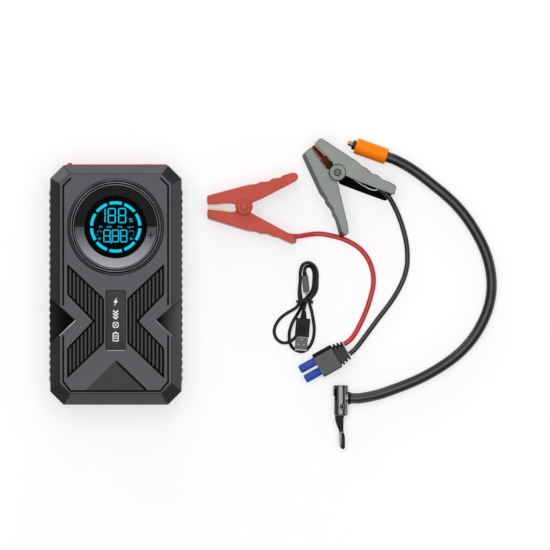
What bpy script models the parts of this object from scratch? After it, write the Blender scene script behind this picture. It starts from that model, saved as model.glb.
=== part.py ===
"""Jump starter pack: the power unit, its jumper lead, air hose and charging lead, laid out flat.

The power unit lies on its back with its dial up. The origin is the middle of its underside, +Y
runs to the end that carries the ports, and everything else lies beside it on the same surface.
Dimensions are written in millimetres and become metres when a mesh is made.
"""

import math

import bmesh
import bpy
from mathutils import Matrix, Vector

MM = 0.001
GAP = 0.3
DIAL_STEPS = 40

# Power unit casing
HALF_WIDTH = 57.0
HALF_LENGTH = 104.0
CORNER_CUT = 11.5
PARTING_HEIGHT = 22.3
RIM_HEIGHT = 39.0
UNIT_HEIGHT = 46.0
TOP_HALF_WIDTH = 48.5
TOP_FRONT = 96.6
TOP_BACK = -94.0
TOP_CORNER_CUT = 9.0
WALL = 2.4
FLOOR = 3.0
GRIP_BACK = -88.3
GRIP_FRONT = 84.3
GRIP_BUMPS = 25
GRIP_PITCH = 6.7
LABEL_HALF_WIDTH = 8.3
LABEL_BACK = -57.0
LABEL_FRONT = -4.8
SCREW_PLACES = [(46.0, 88.0), (-46.0, 88.0), (-46.0, -88.0), (46.0, -88.0)]
BOSS_RADIUS = 3.6

# Dial
DIAL_Y = 50.4
BEZEL_RADIUS = 42.1
TRIM_RADIUS = 39.3
KEY_RADIUS = 35.8
LENS_RADIUS = 27.0
TRIM_TOP = 49.2
KEY_TOP = 47.4
KEY_AXIS_HEIGHT = 44.0

# Port end
PANEL_LEFT = -43.5
PANEL_RIGHT = 44.4
PANEL_LOW = 6.3
PANEL_HIGH = 38.5
PANEL_INSIDE = 101.9
PANEL_FACE = 104.9
TORCH_X = -27.0
TORCH_Z = 23.0
SOCKET_X = 28.0
SOCKET_Z = 24.0
SOCKET_PITCH = 9.5
USB_A_X = -8.5
USB_C_X = 8.5
USB_Z = 33.0
BUTTON_X = -40.0
BUTTON_Z = 23.0
BUTTON_FACE = 106.1
FLAP_HINGE_Z = 36.7
FLAP_HALF_WIDTH = 14.0
FLAP_LOW = 11.0

# Air pump
GEAR_MODULE = 0.7
PINION_TEETH = 10
CRANK_TEETH = 40
PUMP_Z = 19.0
CRANK_Y = 58.0
MOTOR_Y = CRANK_Y - GEAR_MODULE * (PINION_TEETH + CRANK_TEETH) / 2
CRANK_THROW = 5.0
CYLINDER_X = 3.5
CYLINDER_RADIUS = 9.0
BORE_RADIUS = 7.3
PISTON_RADIUS = 7.0
MOTOR_RADIUS = 13.0
MOTOR_BACK = -41.0
MOTOR_FRONT = -9.0
GEAR_BACK = -6.4
GEAR_FRONT = -2.4
GEAR_MIDDLE = (GEAR_BACK + GEAR_FRONT) / 2
CELL_COUNT = 3
CELL_THICKNESS = 7.4
CELL_PITCH = 8.0

# Jumper lead
CLAMP_WIDTH = 24.0
CLAMP_SHEET = 1.6
CLAMP_NEST = 2.3
HUB_RADIUS = 7.2
RIVET_RADIUS = 2.0
JAW_LOW = 4.4
JAW_TEETH = 9
JAW_TIP = -31.5
JAW_HEEL = -9.5
JAW_EDGES = {1: (0.5, 1.8, 3.9), -1: (-1.2, -3.9, -6.2)}
SPRING_LOW = 6.0
SPRING_INNER = 3.0
SPRING_OUTER = 5.6
RED_PIVOT = (111.4, 68.3)
RED_TURN = 0.0
BLACK_PIVOT = (192.7, 97.9)
BLACK_TURN = -48.0
PLUG_REAR = (200.5, -56.6)
PLUG_TURN = 209.3
CABLE_DIAMETER = 4.4

# Air hose
COLLAR_FRONT = (208.6, 121.4)
COLLAR_TURN = -19.8
COLLAR_RADIUS = 7.0
COLLAR_LENGTH = 28.4
HOSE_DIAMETER = 9.2
CHUCK_X = 195.5
CHUCK_RADIUS = 6.3
CHUCK_PIN = (197.1, -106.1)
CHUCK_HOSE_Y = -98.7

# Charging lead
LEAD_DIAMETER = 2.9
USB_A_PLUG = (163.0, -29.0)
USB_A_TURN = -4.6
USB_A_Z = 7.4
USB_C_PLUG = (164.2, 9.0)
USB_C_TURN = 5.3
USB_C_Z = 4.9
TIE_CENTRE = (164.0, -14.4)

# Centrelines of the cables, hose and lead as they lie, chosen by hand, end to end.
RED_CABLE_ROUTE = [
    (129.4, 51.8, 6.6), (141.4, 46.3, 6.6), (151.0, 42.8, 6.6), (158.0, 42.4, 6.3), (165.4, 43.5, 4.4),
    (172.6, 44.4, 2.7), (179.2, 44.4, 2.25), (186.2, 43.2, 2.25), (194.9, 41.0, 2.25), (203.6, 37.4, 2.25),
    (211.6, 32.2, 2.25), (217.8, 25.2, 2.25), (221.8, 17.2, 2.25), (223.9, 8.6, 2.25), (223.9, -0.4, 2.25),
    (221.9, -9.4, 2.25), (219.2, -18.4, 2.25), (215.6, -27.4, 2.25), (211.2, -36.6, 2.7), (206.6, -44.4, 4.1),
    (202.8, -48.6, 4.9), (198.4, -51.8, 5.0),
]
BLACK_CABLE_ROUTE = [
    (216.1, 92.1, 6.6), (223.5, 87.9, 6.6), (230.6, 83.4, 6.5), (237.3, 76.8, 5.4), (242.7, 67.6, 3.4),
    (247.1, 57.4, 2.25), (250.4, 47.0, 2.25), (252.8, 36.5, 2.25), (253.7, 26.1, 2.25), (253.3, 16.6, 2.25),
    (251.0, 7.2, 2.25), (247.0, -2.0, 2.25), (241.6, -11.3, 2.25), (235.0, -20.6, 2.25), (228.0, -29.6, 2.25),
    (221.4, -38.6, 2.5), (214.4, -48.0, 4.0), (208.2, -55.8, 4.9), (203.2, -60.2, 5.0),
]
HOSE_ROUTE = [
    (236.1, 111.5, 7.0), (243.0, 109.0, 7.0), (253.4, 103.6, 5.8), (264.2, 96.4, 4.7), (275.4, 87.6, 4.7),
    (286.0, 79.0, 4.7), (296.0, 69.6, 4.7), (305.0, 58.8, 4.7), (312.8, 46.8, 4.7), (319.4, 34.2, 4.7),
    (324.2, 20.8, 4.7), (326.7, 7.0, 4.7), (326.7, -6.8, 4.7), (324.0, -20.2, 4.7), (318.6, -33.4, 4.7),
    (310.6, -46.5, 4.7), (300.1, -58.3, 4.7), (288.0, -67.9, 4.7), (274.1, -76.6, 4.7), (259.3, -84.0, 4.7),
    (243.6, -90.2, 4.7), (228.4, -95.4, 5.4), (213.0, -98.6, 6.3), (203.7, -98.7, 6.3),
]
CHARGING_LEAD_ROUTE = [
    (163.6, -21.6, 7.5), (163.9, -19.2, 7.5), (165.4, -14.4, 6.2), (168.6, -10.0, 5.5), (173.0, -3.4, 4.9),
    (176.2, 4.6, 4.8), (176.9, 11.8, 4.8), (174.2, 18.2, 4.8), (168.2, 21.4, 4.8), (162.0, 19.1, 4.8),
    (159.6, 12.4, 4.8), (159.4, 4.4, 4.8), (159.8, -4.0, 4.9), (160.8, -10.0, 5.6), (161.6, -14.4, 6.2),
    (160.8, -20.0, 4.6), (157.2, -26.4, 2.3), (153.6, -32.6, 1.7), (151.2, -39.4, 2.6), (150.6, -45.2, 4.6),
    (151.2, -50.2, 4.9), (153.8, -54.8, 3.0), (158.6, -57.7, 1.7), (164.0, -57.6, 1.6), (168.8, -53.1, 1.6),
    (171.6, -46.5, 1.6), (172.5, -39.2, 1.6), (171.8, -31.3, 1.6), (170.2, -22.8, 1.9), (168.2, -14.4, 2.8),
    (170.0, -11.0, 2.5), (173.3, -6.8, 1.9), (175.9, -1.6, 1.5), (177.2, 5.0, 1.5), (177.1, 11.8, 1.5),
    (174.2, 18.2, 1.5), (168.2, 21.4, 1.5), (162.0, 19.1, 1.5), (159.6, 12.4, 1.5), (159.3, 4.4, 1.5),
    (159.2, -4.0, 1.5), (159.4, -10.0, 2.2), (159.8, -14.4, 2.8), (157.6, -18.8, 2.1), (153.4, -21.9, 1.6),
    (148.4, -24.8, 1.6), (143.2, -28.9, 1.6), (139.1, -34.6, 1.6), (137.6, -41.0, 1.6), (139.7, -46.8, 1.6),
    (144.4, -50.2, 1.6), (149.8, -50.0, 1.5), (154.6, -47.0, 1.5), (158.3, -42.2, 1.6), (160.6, -36.4, 1.6),
    (162.1, -29.6, 1.7), (163.1, -22.0, 2.1), (163.5, -14.4, 2.8), (166.0, -10.8, 2.2), (169.8, -6.6, 1.6),
    (172.5, -1.4, 1.6), (173.7, 4.6, 1.6), (173.8, 10.4, 1.6), (172.6, 15.4, 2.0), (169.3, 17.9, 2.9),
    (165.7, 17.5, 4.1), (164.2, 15.0, 4.8), (163.9, 12.3, 4.9),
]


# ---------------------------------------------------------------------------------------------
# Making solids
# ---------------------------------------------------------------------------------------------

def clear_scene():
    for item in list(bpy.data.objects):
        bpy.data.objects.remove(item, do_unlink=True)


def material(name, color, roughness, metallic=0.0):
    finish = bpy.data.materials.new(name)
    finish.use_nodes = True
    shader = finish.node_tree.nodes["Principled BSDF"]
    shader.inputs["Base Color"].default_value = (*color, 1.0)
    shader.inputs["Roughness"].default_value = roughness
    shader.inputs["Metallic"].default_value = metallic
    return finish


def add_object(name, data, finish, parent=None):
    item = bpy.data.objects.new(name, data)
    bpy.context.scene.collection.objects.link(item)
    if finish:
        data.materials.append(finish)
    item.parent = parent
    return item


def empty(name, place, turn=0.0):
    """A joint or assembly frame at a place in millimetres, turned about Z by an angle in degrees."""
    item = bpy.data.objects.new(name, None)
    bpy.context.scene.collection.objects.link(item)
    item.location = Vector(place) * MM
    item.rotation_euler.z = math.radians(turn)
    return item


def hang(item, pivot):
    """Parent a piece modelled in the unit's frame to an unturned empty, without moving it."""
    item.parent = pivot
    item.matrix_parent_inverse = Matrix.Translation(pivot.location).inverted()


def finish_mesh(name, shape, finish, parent=None, smooth=False):
    bmesh.ops.recalc_face_normals(shape, faces=shape.faces)
    bmesh.ops.scale(shape, vec=(MM, MM, MM), verts=shape.verts)
    mesh = bpy.data.meshes.new(name)
    shape.to_mesh(mesh)
    shape.free()
    if smooth:
        mesh.shade_smooth()
        mesh.set_sharp_from_angle(angle=math.radians(35))
    return add_object(name, mesh, finish, parent)


def box(name, low, high, finish=None, parent=None):
    shape = bmesh.new()
    bmesh.ops.create_cube(shape, size=1.0)
    low, high = Vector(low), Vector(high)
    bmesh.ops.scale(shape, vec=high - low, verts=shape.verts)
    bmesh.ops.translate(shape, vec=(low + high) / 2, verts=shape.verts)
    return finish_mesh(name, shape, finish, parent)


def loft(name, rings, finish=None, parent=None):
    """A closed solid through rings of equal count, each a list of 3-D points."""
    shape = bmesh.new()
    loops = [[shape.verts.new(point) for point in ring] for ring in rings]
    count = len(rings[0])
    for lower, upper in zip(loops, loops[1:]):
        for index in range(count):
            after = (index + 1) % count
            shape.faces.new((lower[index], lower[after], upper[after], upper[index]))
    shape.faces.new(loops[0])
    shape.faces.new(loops[-1])
    return finish_mesh(name, shape, finish, parent)


def prism(name, outline, low, high, finish=None, parent=None, axis="Z"):
    """An outline pushed along an axis. Along X the outline is (y, z), and along Y it is (x, z)."""
    place = {
        "X": lambda a, b, c: (c, a, b),
        "Y": lambda a, b, c: (a, c, b),
        "Z": lambda a, b, c: (a, b, c),
    }[axis]
    rings = [[place(a, b, height) for a, b in outline] for height in (low, high)]
    return loft(name, rings, finish, parent)


def turned(name, profile, centre, axis="Z", finish=None, parent=None, steps=24):
    """A closed (radius, height) profile turned about an axis; a radius of 0 closes on the axis."""
    shape = bmesh.new()
    rings = []
    for radius, height in profile:
        if radius == 0:
            rings.append([shape.verts.new((0, 0, height))])
            continue
        angles = [2 * math.pi * step / steps for step in range(steps)]
        rings.append([shape.verts.new((radius * math.cos(a), radius * math.sin(a), height)) for a in angles])
    pairs = list(zip(rings, rings[1:]))
    if len(rings[0]) > 1:
        pairs.append((rings[-1], rings[0]))
    for first, second in pairs:
        for step in range(steps):
            after = (step + 1) % steps
            corners = [first[step % len(first)], first[after % len(first)]]
            corners += [second[after % len(second)], second[step % len(second)]]
            shape.faces.new(list(dict.fromkeys(corners)))
    turn = {"X": Matrix.Rotation(math.pi / 2, 3, "Y"), "Y": Matrix.Rotation(-math.pi / 2, 3, "X")}
    if axis in turn:
        bmesh.ops.rotate(shape, matrix=turn[axis], verts=shape.verts)
    bmesh.ops.translate(shape, vec=centre, verts=shape.verts)
    return finish_mesh(name, shape, finish, parent, smooth=True)


def rod(name, radius, low, high, centre, axis="Z", finish=None, parent=None, steps=16):
    """A plain cylinder from low to high along an axis through a centre."""
    profile = [(0, low), (radius, low), (radius, high), (0, high)]
    return turned(name, profile, centre, axis, finish, parent, steps)


def guide(item):
    item.hide_render = True
    item.display_type = "WIRE"
    return item


def apply_boolean(target, tool, operation):
    guide(tool)
    modifier = target.modifiers.new(tool.name, "BOOLEAN")
    modifier.operation = operation
    modifier.solver = "EXACT"
    modifier.object = tool


def cut(target, *tools):
    for tool in tools:
        apply_boolean(target, tool, "DIFFERENCE")


def join(target, *tools):
    for tool in tools:
        apply_boolean(target, tool, "UNION")


def arc(centre, radius, start, end, steps):
    """Points along an arc, from a start angle to an end angle in degrees."""
    points = []
    for step in range(steps + 1):
        angle = math.radians(start + (end - start) * step / steps)
        points.append((centre[0] + radius * math.cos(angle), centre[1] + radius * math.sin(angle)))
    return points


def smooth_route(route, spacing):
    """Evenly spaced points along a smooth curve through hand-chosen points."""
    points = [Vector(point) for point in route]
    ends = [2 * points[0] - points[1]], [2 * points[-1] - points[-2]]
    chain = ends[0] + points + ends[1]
    fine = []
    for before, start, end, after in zip(chain, chain[1:], chain[2:], chain[3:]):
        for part in range(12):
            t = part / 12
            fine.append(0.5 * (2 * start + (end - before) * t
                               + (2 * before - 5 * start + 4 * end - after) * t * t
                               + (3 * start - before - 3 * end + after) * t ** 3))
    fine.append(points[-1])
    total = sum((b - a).length for a, b in zip(fine, fine[1:]))
    count = max(8, round(total / spacing))
    even = [fine[0]]
    travelled = 0.0
    for a, b in zip(fine, fine[1:]):
        step = (b - a).length
        while len(even) < count and travelled + step >= total * len(even) / count:
            share = (total * len(even) / count - travelled) / step
            even.append(a.lerp(b, share))
        travelled += step
    even.append(fine[-1])
    return even


def tube(name, route, diameter, finish, spacing, resolution=2):
    """A cable or hose: a round tube with closed ends along a route."""
    curve = bpy.data.curves.new(name, "CURVE")
    curve.dimensions = "3D"
    curve.bevel_depth = diameter / 2 * MM
    curve.bevel_resolution = resolution
    curve.use_fill_caps = True
    curve.render_resolution_u = 0
    points = smooth_route(route, spacing * diameter)
    spline = curve.splines.new("POLY")
    spline.points.add(len(points) - 1)
    for knot, point in zip(spline.points, points):
        knot.co = (*(point * MM), 1.0)
    return add_object(name, curve, finish)


# ---------------------------------------------------------------------------------------------
# Power unit casing
# ---------------------------------------------------------------------------------------------

def octagon(half_width, back, front, corner, height):
    """Eight corners of a rectangle with its corners cut at 45 degrees."""
    inner_x = half_width - corner
    return [
        (half_width, back + corner, height), (half_width, front - corner, height),
        (inner_x, front, height), (-inner_x, front, height),
        (-half_width, front - corner, height), (-half_width, back + corner, height),
        (-inner_x, back, height), (inner_x, back, height),
    ]


def body_ring(height, inset=0.0):
    corner = CORNER_CUT - 0.6 * inset
    return octagon(HALF_WIDTH - inset, inset - HALF_LENGTH, HALF_LENGTH - inset, corner, height)


def face_ring(height, inset=0.0):
    corner = TOP_CORNER_CUT - 0.6 * inset
    return octagon(TOP_HALF_WIDTH - inset, TOP_BACK + inset, TOP_FRONT - inset, corner, height)


def side_scoop(name, side, grow):
    """The V-shaped scoop in one side, whose floor falls away outward; grow leaves a wall under it."""
    floor = [(34.2 - grow, -31.0, UNIT_HEIGHT - grow), (60.0, -8.6 + grow, 35.5 - grow),
             (60.0, -54.2 - grow, 35.5 - grow)]
    floor = [(side * x, y, z) for x, y, z in floor]
    return loft(name, [floor, [(x, y, UNIT_HEIGHT + 20) for x, y, _ in floor]])


def chevron_outline(side):
    """The ribbed panel: an arrow-shaped field pointing at the middle of the unit."""
    corners = [(42.2, 18.7), (10.0, -11.7), (10.0, -50.5), (42.2, -81.3), (42.2, -54.8), (20.0, -31.3),
               (42.2, -8.3)]
    return [(side * x, y) for x, y in corners]


def port_window(name):
    return box(name, (PANEL_LEFT - GAP, 98, PANEL_LOW - GAP), (PANEL_RIGHT + GAP, 110, PANEL_HIGH + GAP))


def grip_recess(name, side):
    low, high = sorted((side * 55.7, side * 62))
    return box(name, (low, GRIP_BACK, 10.7), (high, GRIP_FRONT, 35.3))


def make_bottom_shell(plastic):
    rings = [body_ring(0, 1.5), body_ring(1.5), body_ring(PARTING_HEIGHT - GAP / 2)]
    shell = loft("bottom_shell", rings, plastic)
    cut(shell, loft("bottom_hollow", [body_ring(FLOOR, WALL), body_ring(PARTING_HEIGHT + 5, WALL)]),
        port_window("bottom_window"))
    for side, word in ((-1, "left"), (1, "right")):
        cut(shell, grip_recess(f"bottom_grip_recess_{word}", side))
    for index, (x, y) in enumerate(SCREW_PLACES):
        profile = [(0, -1), (3.3, -1), (3.3, 1.9), (1.7, 1.9), (1.7, 6), (0, 6)]
        cut(shell, turned(f"screw_hole_{index}", profile, (x, y, 0), steps=12))


def make_top_shell(plastic):
    low = PARTING_HEIGHT + GAP / 2
    shell = loft("top_shell", [body_ring(low), body_ring(RIM_HEIGHT), face_ring(UNIT_HEIGHT)], plastic)
    hollow = loft("top_hollow", [body_ring(low - 3, WALL), body_ring(RIM_HEIGHT - 0.8, WALL),
                                 face_ring(UNIT_HEIGHT - WALL, WALL)])
    for side, word in ((-1, "left"), (1, "right")):
        cut(hollow, side_scoop(f"scoop_wall_{word}", side, WALL))
        cut(shell, side_scoop(f"scoop_{word}", side, 0.0))
    cut(shell, hollow)
    for index, (x, y) in enumerate(SCREW_PLACES):
        join(shell, rod(f"screw_boss_{index}", BOSS_RADIUS, 8, 42, (x, y, 0), steps=12))
        cut(shell, rod(f"boss_hole_{index}", 1.8, 5, 20, (x, y, 0), steps=12))
    for side, word in ((-1, "left"), (1, "right")):
        cut(shell, grip_recess(f"top_grip_recess_{word}", side))
        cut(shell, prism(f"ribbed_field_{word}", chevron_outline(side), UNIT_HEIGHT - 0.8, UNIT_HEIGHT + 2))
    cut(shell, rod("dial_opening", BEZEL_RADIUS + GAP, 30, 60, (0, DIAL_Y, 0), steps=DIAL_STEPS),
        box("label_recess", (-LABEL_HALF_WIDTH - 0.4, LABEL_BACK - 0.4, UNIT_HEIGHT - 0.9),
            (LABEL_HALF_WIDTH + 0.4, LABEL_FRONT + 0.4, UNIT_HEIGHT + 2)),
        port_window("top_window"))


def make_side_grip(word, side, rubber):
    """A rubber strip with a row of shallow rounded bumps along its outer face."""
    start, inner = -84.5, side * (HALF_WIDTH - 1)
    outline = [(inner, start - 2), (inner, start + GRIP_BUMPS * GRIP_PITCH)]
    for bump in reversed(range(GRIP_BUMPS)):
        middle = start + (bump + 0.5) * GRIP_PITCH
        for part in (2.5, 1.5, 0.5):
            angle = math.pi * part / 3
            across = HALF_WIDTH + 0.9 * math.sin(angle)
            outline.append((side * across, middle - 0.5 * GRIP_PITCH * math.cos(angle)))
    outline.append((side * HALF_WIDTH, start - 2))
    return prism(f"side_grip_{word}", outline, 11.0, 35.0, rubber)


def make_case_screws(steel):
    profile = [(0, 0.4), (3.0, 0.4), (3.0, 1.7), (1.4, 1.7), (1.4, 15.0), (0, 15.0)]
    for index, (x, y) in enumerate(SCREW_PLACES):
        turned(f"case_screw_{index + 1}", profile, (x, y, 0), finish=steel, steps=12)


def make_label_plate(plastic):
    low, high = UNIT_HEIGHT - 0.6, UNIT_HEIGHT - 0.1
    box("label_plate", (-LABEL_HALF_WIDTH, LABEL_BACK, low), (LABEL_HALF_WIDTH, LABEL_FRONT, high), plastic)


# ---------------------------------------------------------------------------------------------
# Dial
# ---------------------------------------------------------------------------------------------

def half_ring(name, inner, outer, low, high, start, end, finish):
    """A ring sector about the dial's centre, between two angles in degrees."""
    centre = (0.0, DIAL_Y)
    outline = arc(centre, outer, start, end, 20) + arc(centre, inner, end, start, 20)
    return prism(name, outline, low, high, finish)


def make_dial(plastic, trim, gloss, key, glass, board):
    place = (0, DIAL_Y, 0)
    flange = [(39.6, 40.4), (43.9, 40.4), (43.9, 43.0), (BEZEL_RADIUS, 43.0), (BEZEL_RADIUS, 46.6),
              (40.6, 48.4), (39.6, 48.4)]
    turned("dial_bezel", flange, place, finish=plastic, steps=DIAL_STEPS)
    lip = [(36.1, 42.1), (TRIM_RADIUS, 42.1), (TRIM_RADIUS, 48.6), (38.7, TRIM_TOP), (36.8, TRIM_TOP),
           (36.1, 48.4)]
    turned("dial_trim_ring", lip, place, finish=trim, steps=DIAL_STEPS)
    half_ring("dial_gloss_arc", LENS_RADIUS + GAP, KEY_RADIUS, 41.8, KEY_TOP, 0.6, 179.4, gloss)
    carrier = [(0, 38.0), (39.0, 38.0), (39.0, 41.5), (26.0, 41.5), (26.0, 45.6), (0, 45.6)]
    turned("display_module", carrier, place, finish=board, steps=DIAL_STEPS)
    turned("display_lens", [(0, 45.9), (LENS_RADIUS, 45.9), (LENS_RADIUS, 46.8), (26.6, 47.2), (0, 47.2)],
           place, finish=glass, steps=DIAL_STEPS)
    rocker = half_ring("dial_key", LENS_RADIUS + GAP, KEY_RADIUS, 43.2, KEY_TOP, 181.0, 359.0, key)
    hang(rocker, empty("dial_key_axis", (0, DIAL_Y, KEY_AXIS_HEIGHT)))


# ---------------------------------------------------------------------------------------------
# Port end
# ---------------------------------------------------------------------------------------------

def make_port_panel(red):
    low, high = PANEL_INSIDE - 5, PANEL_FACE + 5
    panel = box("port_panel", (PANEL_LEFT, PANEL_INSIDE, PANEL_LOW), (PANEL_RIGHT, PANEL_FACE, PANEL_HIGH),
                red)
    cut(panel,
        box("button_hole", (BUTTON_X - 2, low, BUTTON_Z - 5.3), (BUTTON_X + 2, high, BUTTON_Z + 5.3)),
        rod("torch_hole", 9.9, low, high, (TORCH_X, 0, TORCH_Z), "Y", steps=24),
        box("usb_a_hole", (USB_A_X - 7.6, low, USB_Z - 3.9), (USB_A_X + 7.6, high, USB_Z + 3.9)),
        box("usb_c_hole", (USB_C_X - 5.1, low, USB_Z - 2.2), (USB_C_X + 5.1, high, USB_Z + 2.2)),
        rod("outlet_hole", 5.0, low, high, (CYLINDER_X, 0, PUMP_Z), "Y", steps=24),
        box("socket_hole", (SOCKET_X - 13, low, SOCKET_Z - 8), (SOCKET_X + 13, high, SOCKET_Z + 8)),
        box("flap_recess", (SOCKET_X - FLAP_HALF_WIDTH - GAP, PANEL_FACE - 1.7, FLAP_LOW - GAP),
            (SOCKET_X + FLAP_HALF_WIDTH + GAP, high, FLAP_HINGE_Z + GAP)))


def make_port_flap(rubber):
    flap = box("port_flap", (SOCKET_X - FLAP_HALF_WIDTH, PANEL_FACE - 1.4, FLAP_LOW),
               (SOCKET_X + FLAP_HALF_WIDTH, PANEL_FACE, FLAP_HINGE_Z - 0.2), rubber)
    hang(flap, empty("port_flap_axis", (SOCKET_X, PANEL_FACE, FLAP_HINGE_Z)))


def make_power_button(plastic):
    profile = [(BUTTON_X - 3.2, 99.0), (BUTTON_X + 3.2, 99.0), (BUTTON_X + 3.2, 101.2),
               (BUTTON_X + 1.7, 101.2), (BUTTON_X + 1.7, BUTTON_FACE), (BUTTON_X - 1.7, BUTTON_FACE),
               (BUTTON_X - 1.7, 101.2), (BUTTON_X - 3.2, 101.2)]
    button = prism("power_button", profile, BUTTON_Z - 5, BUTTON_Z + 5, plastic)
    hang(button, empty("power_button_axis", (BUTTON_X, BUTTON_FACE, BUTTON_Z)))


def make_torch(chrome, clear):
    place = (TORCH_X, 0, TORCH_Z)
    cup = [(0, 90.0), (4.2, 90.0), (7.4, 94.5), (9.2, 101.4), (8.4, 101.4), (6.6, 95.0), (3.4, 91.4),
           (0, 91.4)]
    turned("torch_reflector", cup, place, "Y", chrome, steps=24)
    lens = [(0, 101.9), (9.6, 101.9), (9.6, 103.6), (6.0, 104.5), (0, 104.8)]
    turned("torch_lens", lens, place, "Y", clear, steps=24)


def make_sockets(steel, brass, blue):
    front = 103.5
    usb_a = box("usb_a_socket", (USB_A_X - 7.25, 90, USB_Z - 3.55), (USB_A_X + 7.25, front, USB_Z + 3.55),
                steel)
    cut(usb_a, box("usb_a_slot", (USB_A_X - 6.35, 93, USB_Z - 2.6), (USB_A_X + 6.35, 110, USB_Z + 2.6)))
    usb_c = box("usb_c_socket", (USB_C_X - 4.7, 94, USB_Z - 1.8), (USB_C_X + 4.7, front, USB_Z + 1.8), steel)
    cut(usb_c, box("usb_c_slot", (USB_C_X - 4.2, 96.5, USB_Z - 1.3), (USB_C_X + 4.2, 110, USB_Z + 1.3)))
    outlet = [(3.2, 96.4), (4.6, 96.4), (4.6, 103.9), (4.1, 104.6), (3.2, 104.6)]
    turned("air_outlet", outlet, (CYLINDER_X, 0, PUMP_Z), "Y", brass, steps=24)
    socket = box("ec5_socket", (SOCKET_X - 12.7, 86, SOCKET_Z - 7.7),
                 (SOCKET_X + 12.7, 102.9, SOCKET_Z + 7.7), blue)
    for index, side in enumerate((-1, 1)):
        centre = (SOCKET_X + side * SOCKET_PITCH / 2, 0, SOCKET_Z)
        cut(socket, rod(f"socket_bore_{index}", 4.0, 89, 110, centre, "Y", steps=24))


# ---------------------------------------------------------------------------------------------
# Inside the power unit
# ---------------------------------------------------------------------------------------------

def make_batteries(foil):
    for index in range(CELL_COUNT):
        low = FLOOR + 1.0 + CELL_PITCH * index
        box(f"battery_cell_{index + 1}", (-33, -95, low), (33, -5, low + CELL_THICKNESS), foil)


def gear_outline(teeth, centre, turn):
    """A spur gear's outline in (y, z), with tapered teeth and room between them."""
    pitch = GEAR_MODULE * teeth / 2
    root, tip = pitch - 1.2 * GEAR_MODULE, pitch + 0.7 * GEAR_MODULE
    step = 2 * math.pi / teeth
    outline = []
    for tooth in range(teeth):
        for share, radius in ((-0.30, root), (-0.11, tip), (0.11, tip), (0.30, root)):
            angle = turn + (tooth + share) * step
            outline.append((centre[0] + radius * math.cos(angle), centre[1] + radius * math.sin(angle)))
    return outline


def make_motor(steel):
    profile = [(0, MOTOR_BACK), (MOTOR_RADIUS, MOTOR_BACK), (MOTOR_RADIUS, MOTOR_FRONT), (4, MOTOR_FRONT),
               (1.0, MOTOR_FRONT), (1.0, -1.2), (0, -1.2)]
    turned("motor", profile, (0, MOTOR_Y, PUMP_Z), "X", steel, steps=24)


def make_gears(nylon, steel):
    small = gear_outline(PINION_TEETH, (MOTOR_Y, PUMP_Z), 0.0)
    pinion = prism("pinion", small, GEAR_BACK, GEAR_FRONT, steel, axis="X")
    cut(pinion, rod("pinion_bore", 1.3, -10, 2, (0, MOTOR_Y, PUMP_Z), "X", steps=16))
    hang(pinion, empty("pinion_axis", (GEAR_MIDDLE, MOTOR_Y, PUMP_Z)))
    half_tooth = math.pi / CRANK_TEETH
    large = gear_outline(CRANK_TEETH, (CRANK_Y, PUMP_Z), half_tooth)
    gear = prism("crank_gear", large, GEAR_BACK, GEAR_FRONT, nylon, axis="X")
    join(gear, rod("crank_pin", 1.5, -3.4, 1.2, (0, CRANK_Y, PUMP_Z + CRANK_THROW), "X", steps=16))
    cut(gear, rod("crank_bore", 2.1, -10, 2, (0, CRANK_Y, PUMP_Z), "X", steps=20))
    hang(gear, empty("crank_gear_axis", (GEAR_MIDDLE, CRANK_Y, PUMP_Z)))


def make_pump_body(casting):
    """The pump's cast frame: a plate for the motor and gears, an axle stub and the cylinder."""
    plate = box("pump_body", (-8.6, 28, 5), (-7.2, 88, 33), casting)
    join(plate, rod("gear_axle", 1.8, -8.0, -1.6, (0, CRANK_Y, PUMP_Z), "X", steps=20),
         box("cylinder_web", (-8.2, 78, 12), (-3.6, 94, 26)),
         rod("cylinder_wall", CYLINDER_RADIUS, 76, 96, (CYLINDER_X, 0, PUMP_Z), "Y", steps=24))
    cut(plate, rod("shaft_clearance", 3.0, -12, -5, (0, MOTOR_Y, PUMP_Z), "X"),
        rod("cylinder_bore", BORE_RADIUS, 70, 93.5, (CYLINDER_X, 0, PUMP_Z), "Y", steps=24),
        rod("outlet_port", 1.5, 90, 100, (CYLINDER_X, 0, PUMP_Z), "Y", steps=16))


def make_piston(alloy):
    """A wobble piston: its head and connecting rod are one piece, with an eye beside the crank pin."""
    head = rod("piston", PISTON_RADIUS, 78, 83, (CYLINDER_X, 0, PUMP_Z), "Y", alloy, steps=24)
    eye = (CRANK_Y, PUMP_Z + CRANK_THROW)
    shank = [(CRANK_Y + 1, eye[1] + 2), (CRANK_Y + 1, eye[1] - 2), (79, PUMP_Z - 2), (79, PUMP_Z + 2)]
    join(head, prism("piston_shank", shank, 2.0, 5.0, axis="X"),
         rod("piston_eye", 3.4, 2.1, 4.9, (0, *eye), "X"))
    cut(head, rod("piston_eye_bore", 1.8, 0, 7, (0, *eye), "X", steps=16))
    hang(head, empty("piston_axis", (CYLINDER_X, 80, PUMP_Z)))


def make_main_board(board):
    box("main_board", (-40, 14, 35.2), (40, 84, 36.8), board)


# ---------------------------------------------------------------------------------------------
# Jumper lead
# ---------------------------------------------------------------------------------------------

def outer_half_outline():
    """The wider clamp half: jaw to the left, finger waves along the top, around the hub and back."""
    wave = [(5.2, 19.6), (10.4, 19.7), (13.9, 21.7), (21.7, 22.1), (24.3, 24.7), (31.3, 25.2),
            (33.9, 27.4)]
    handle_end = [(42.6, 30.0), (45.8, 29.0), (47.4, 25.7), (45.2, 22.2)]
    back = [(15.7, 6.9)] + arc((0, 0), HUB_RADIUS, 26, -190, 12)
    return [(-32.2, 1.7), (-32.2, 9.4), (-30.9, 10.0)] + wave + handle_end + back + [(-11.3, 3.0)]


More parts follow.
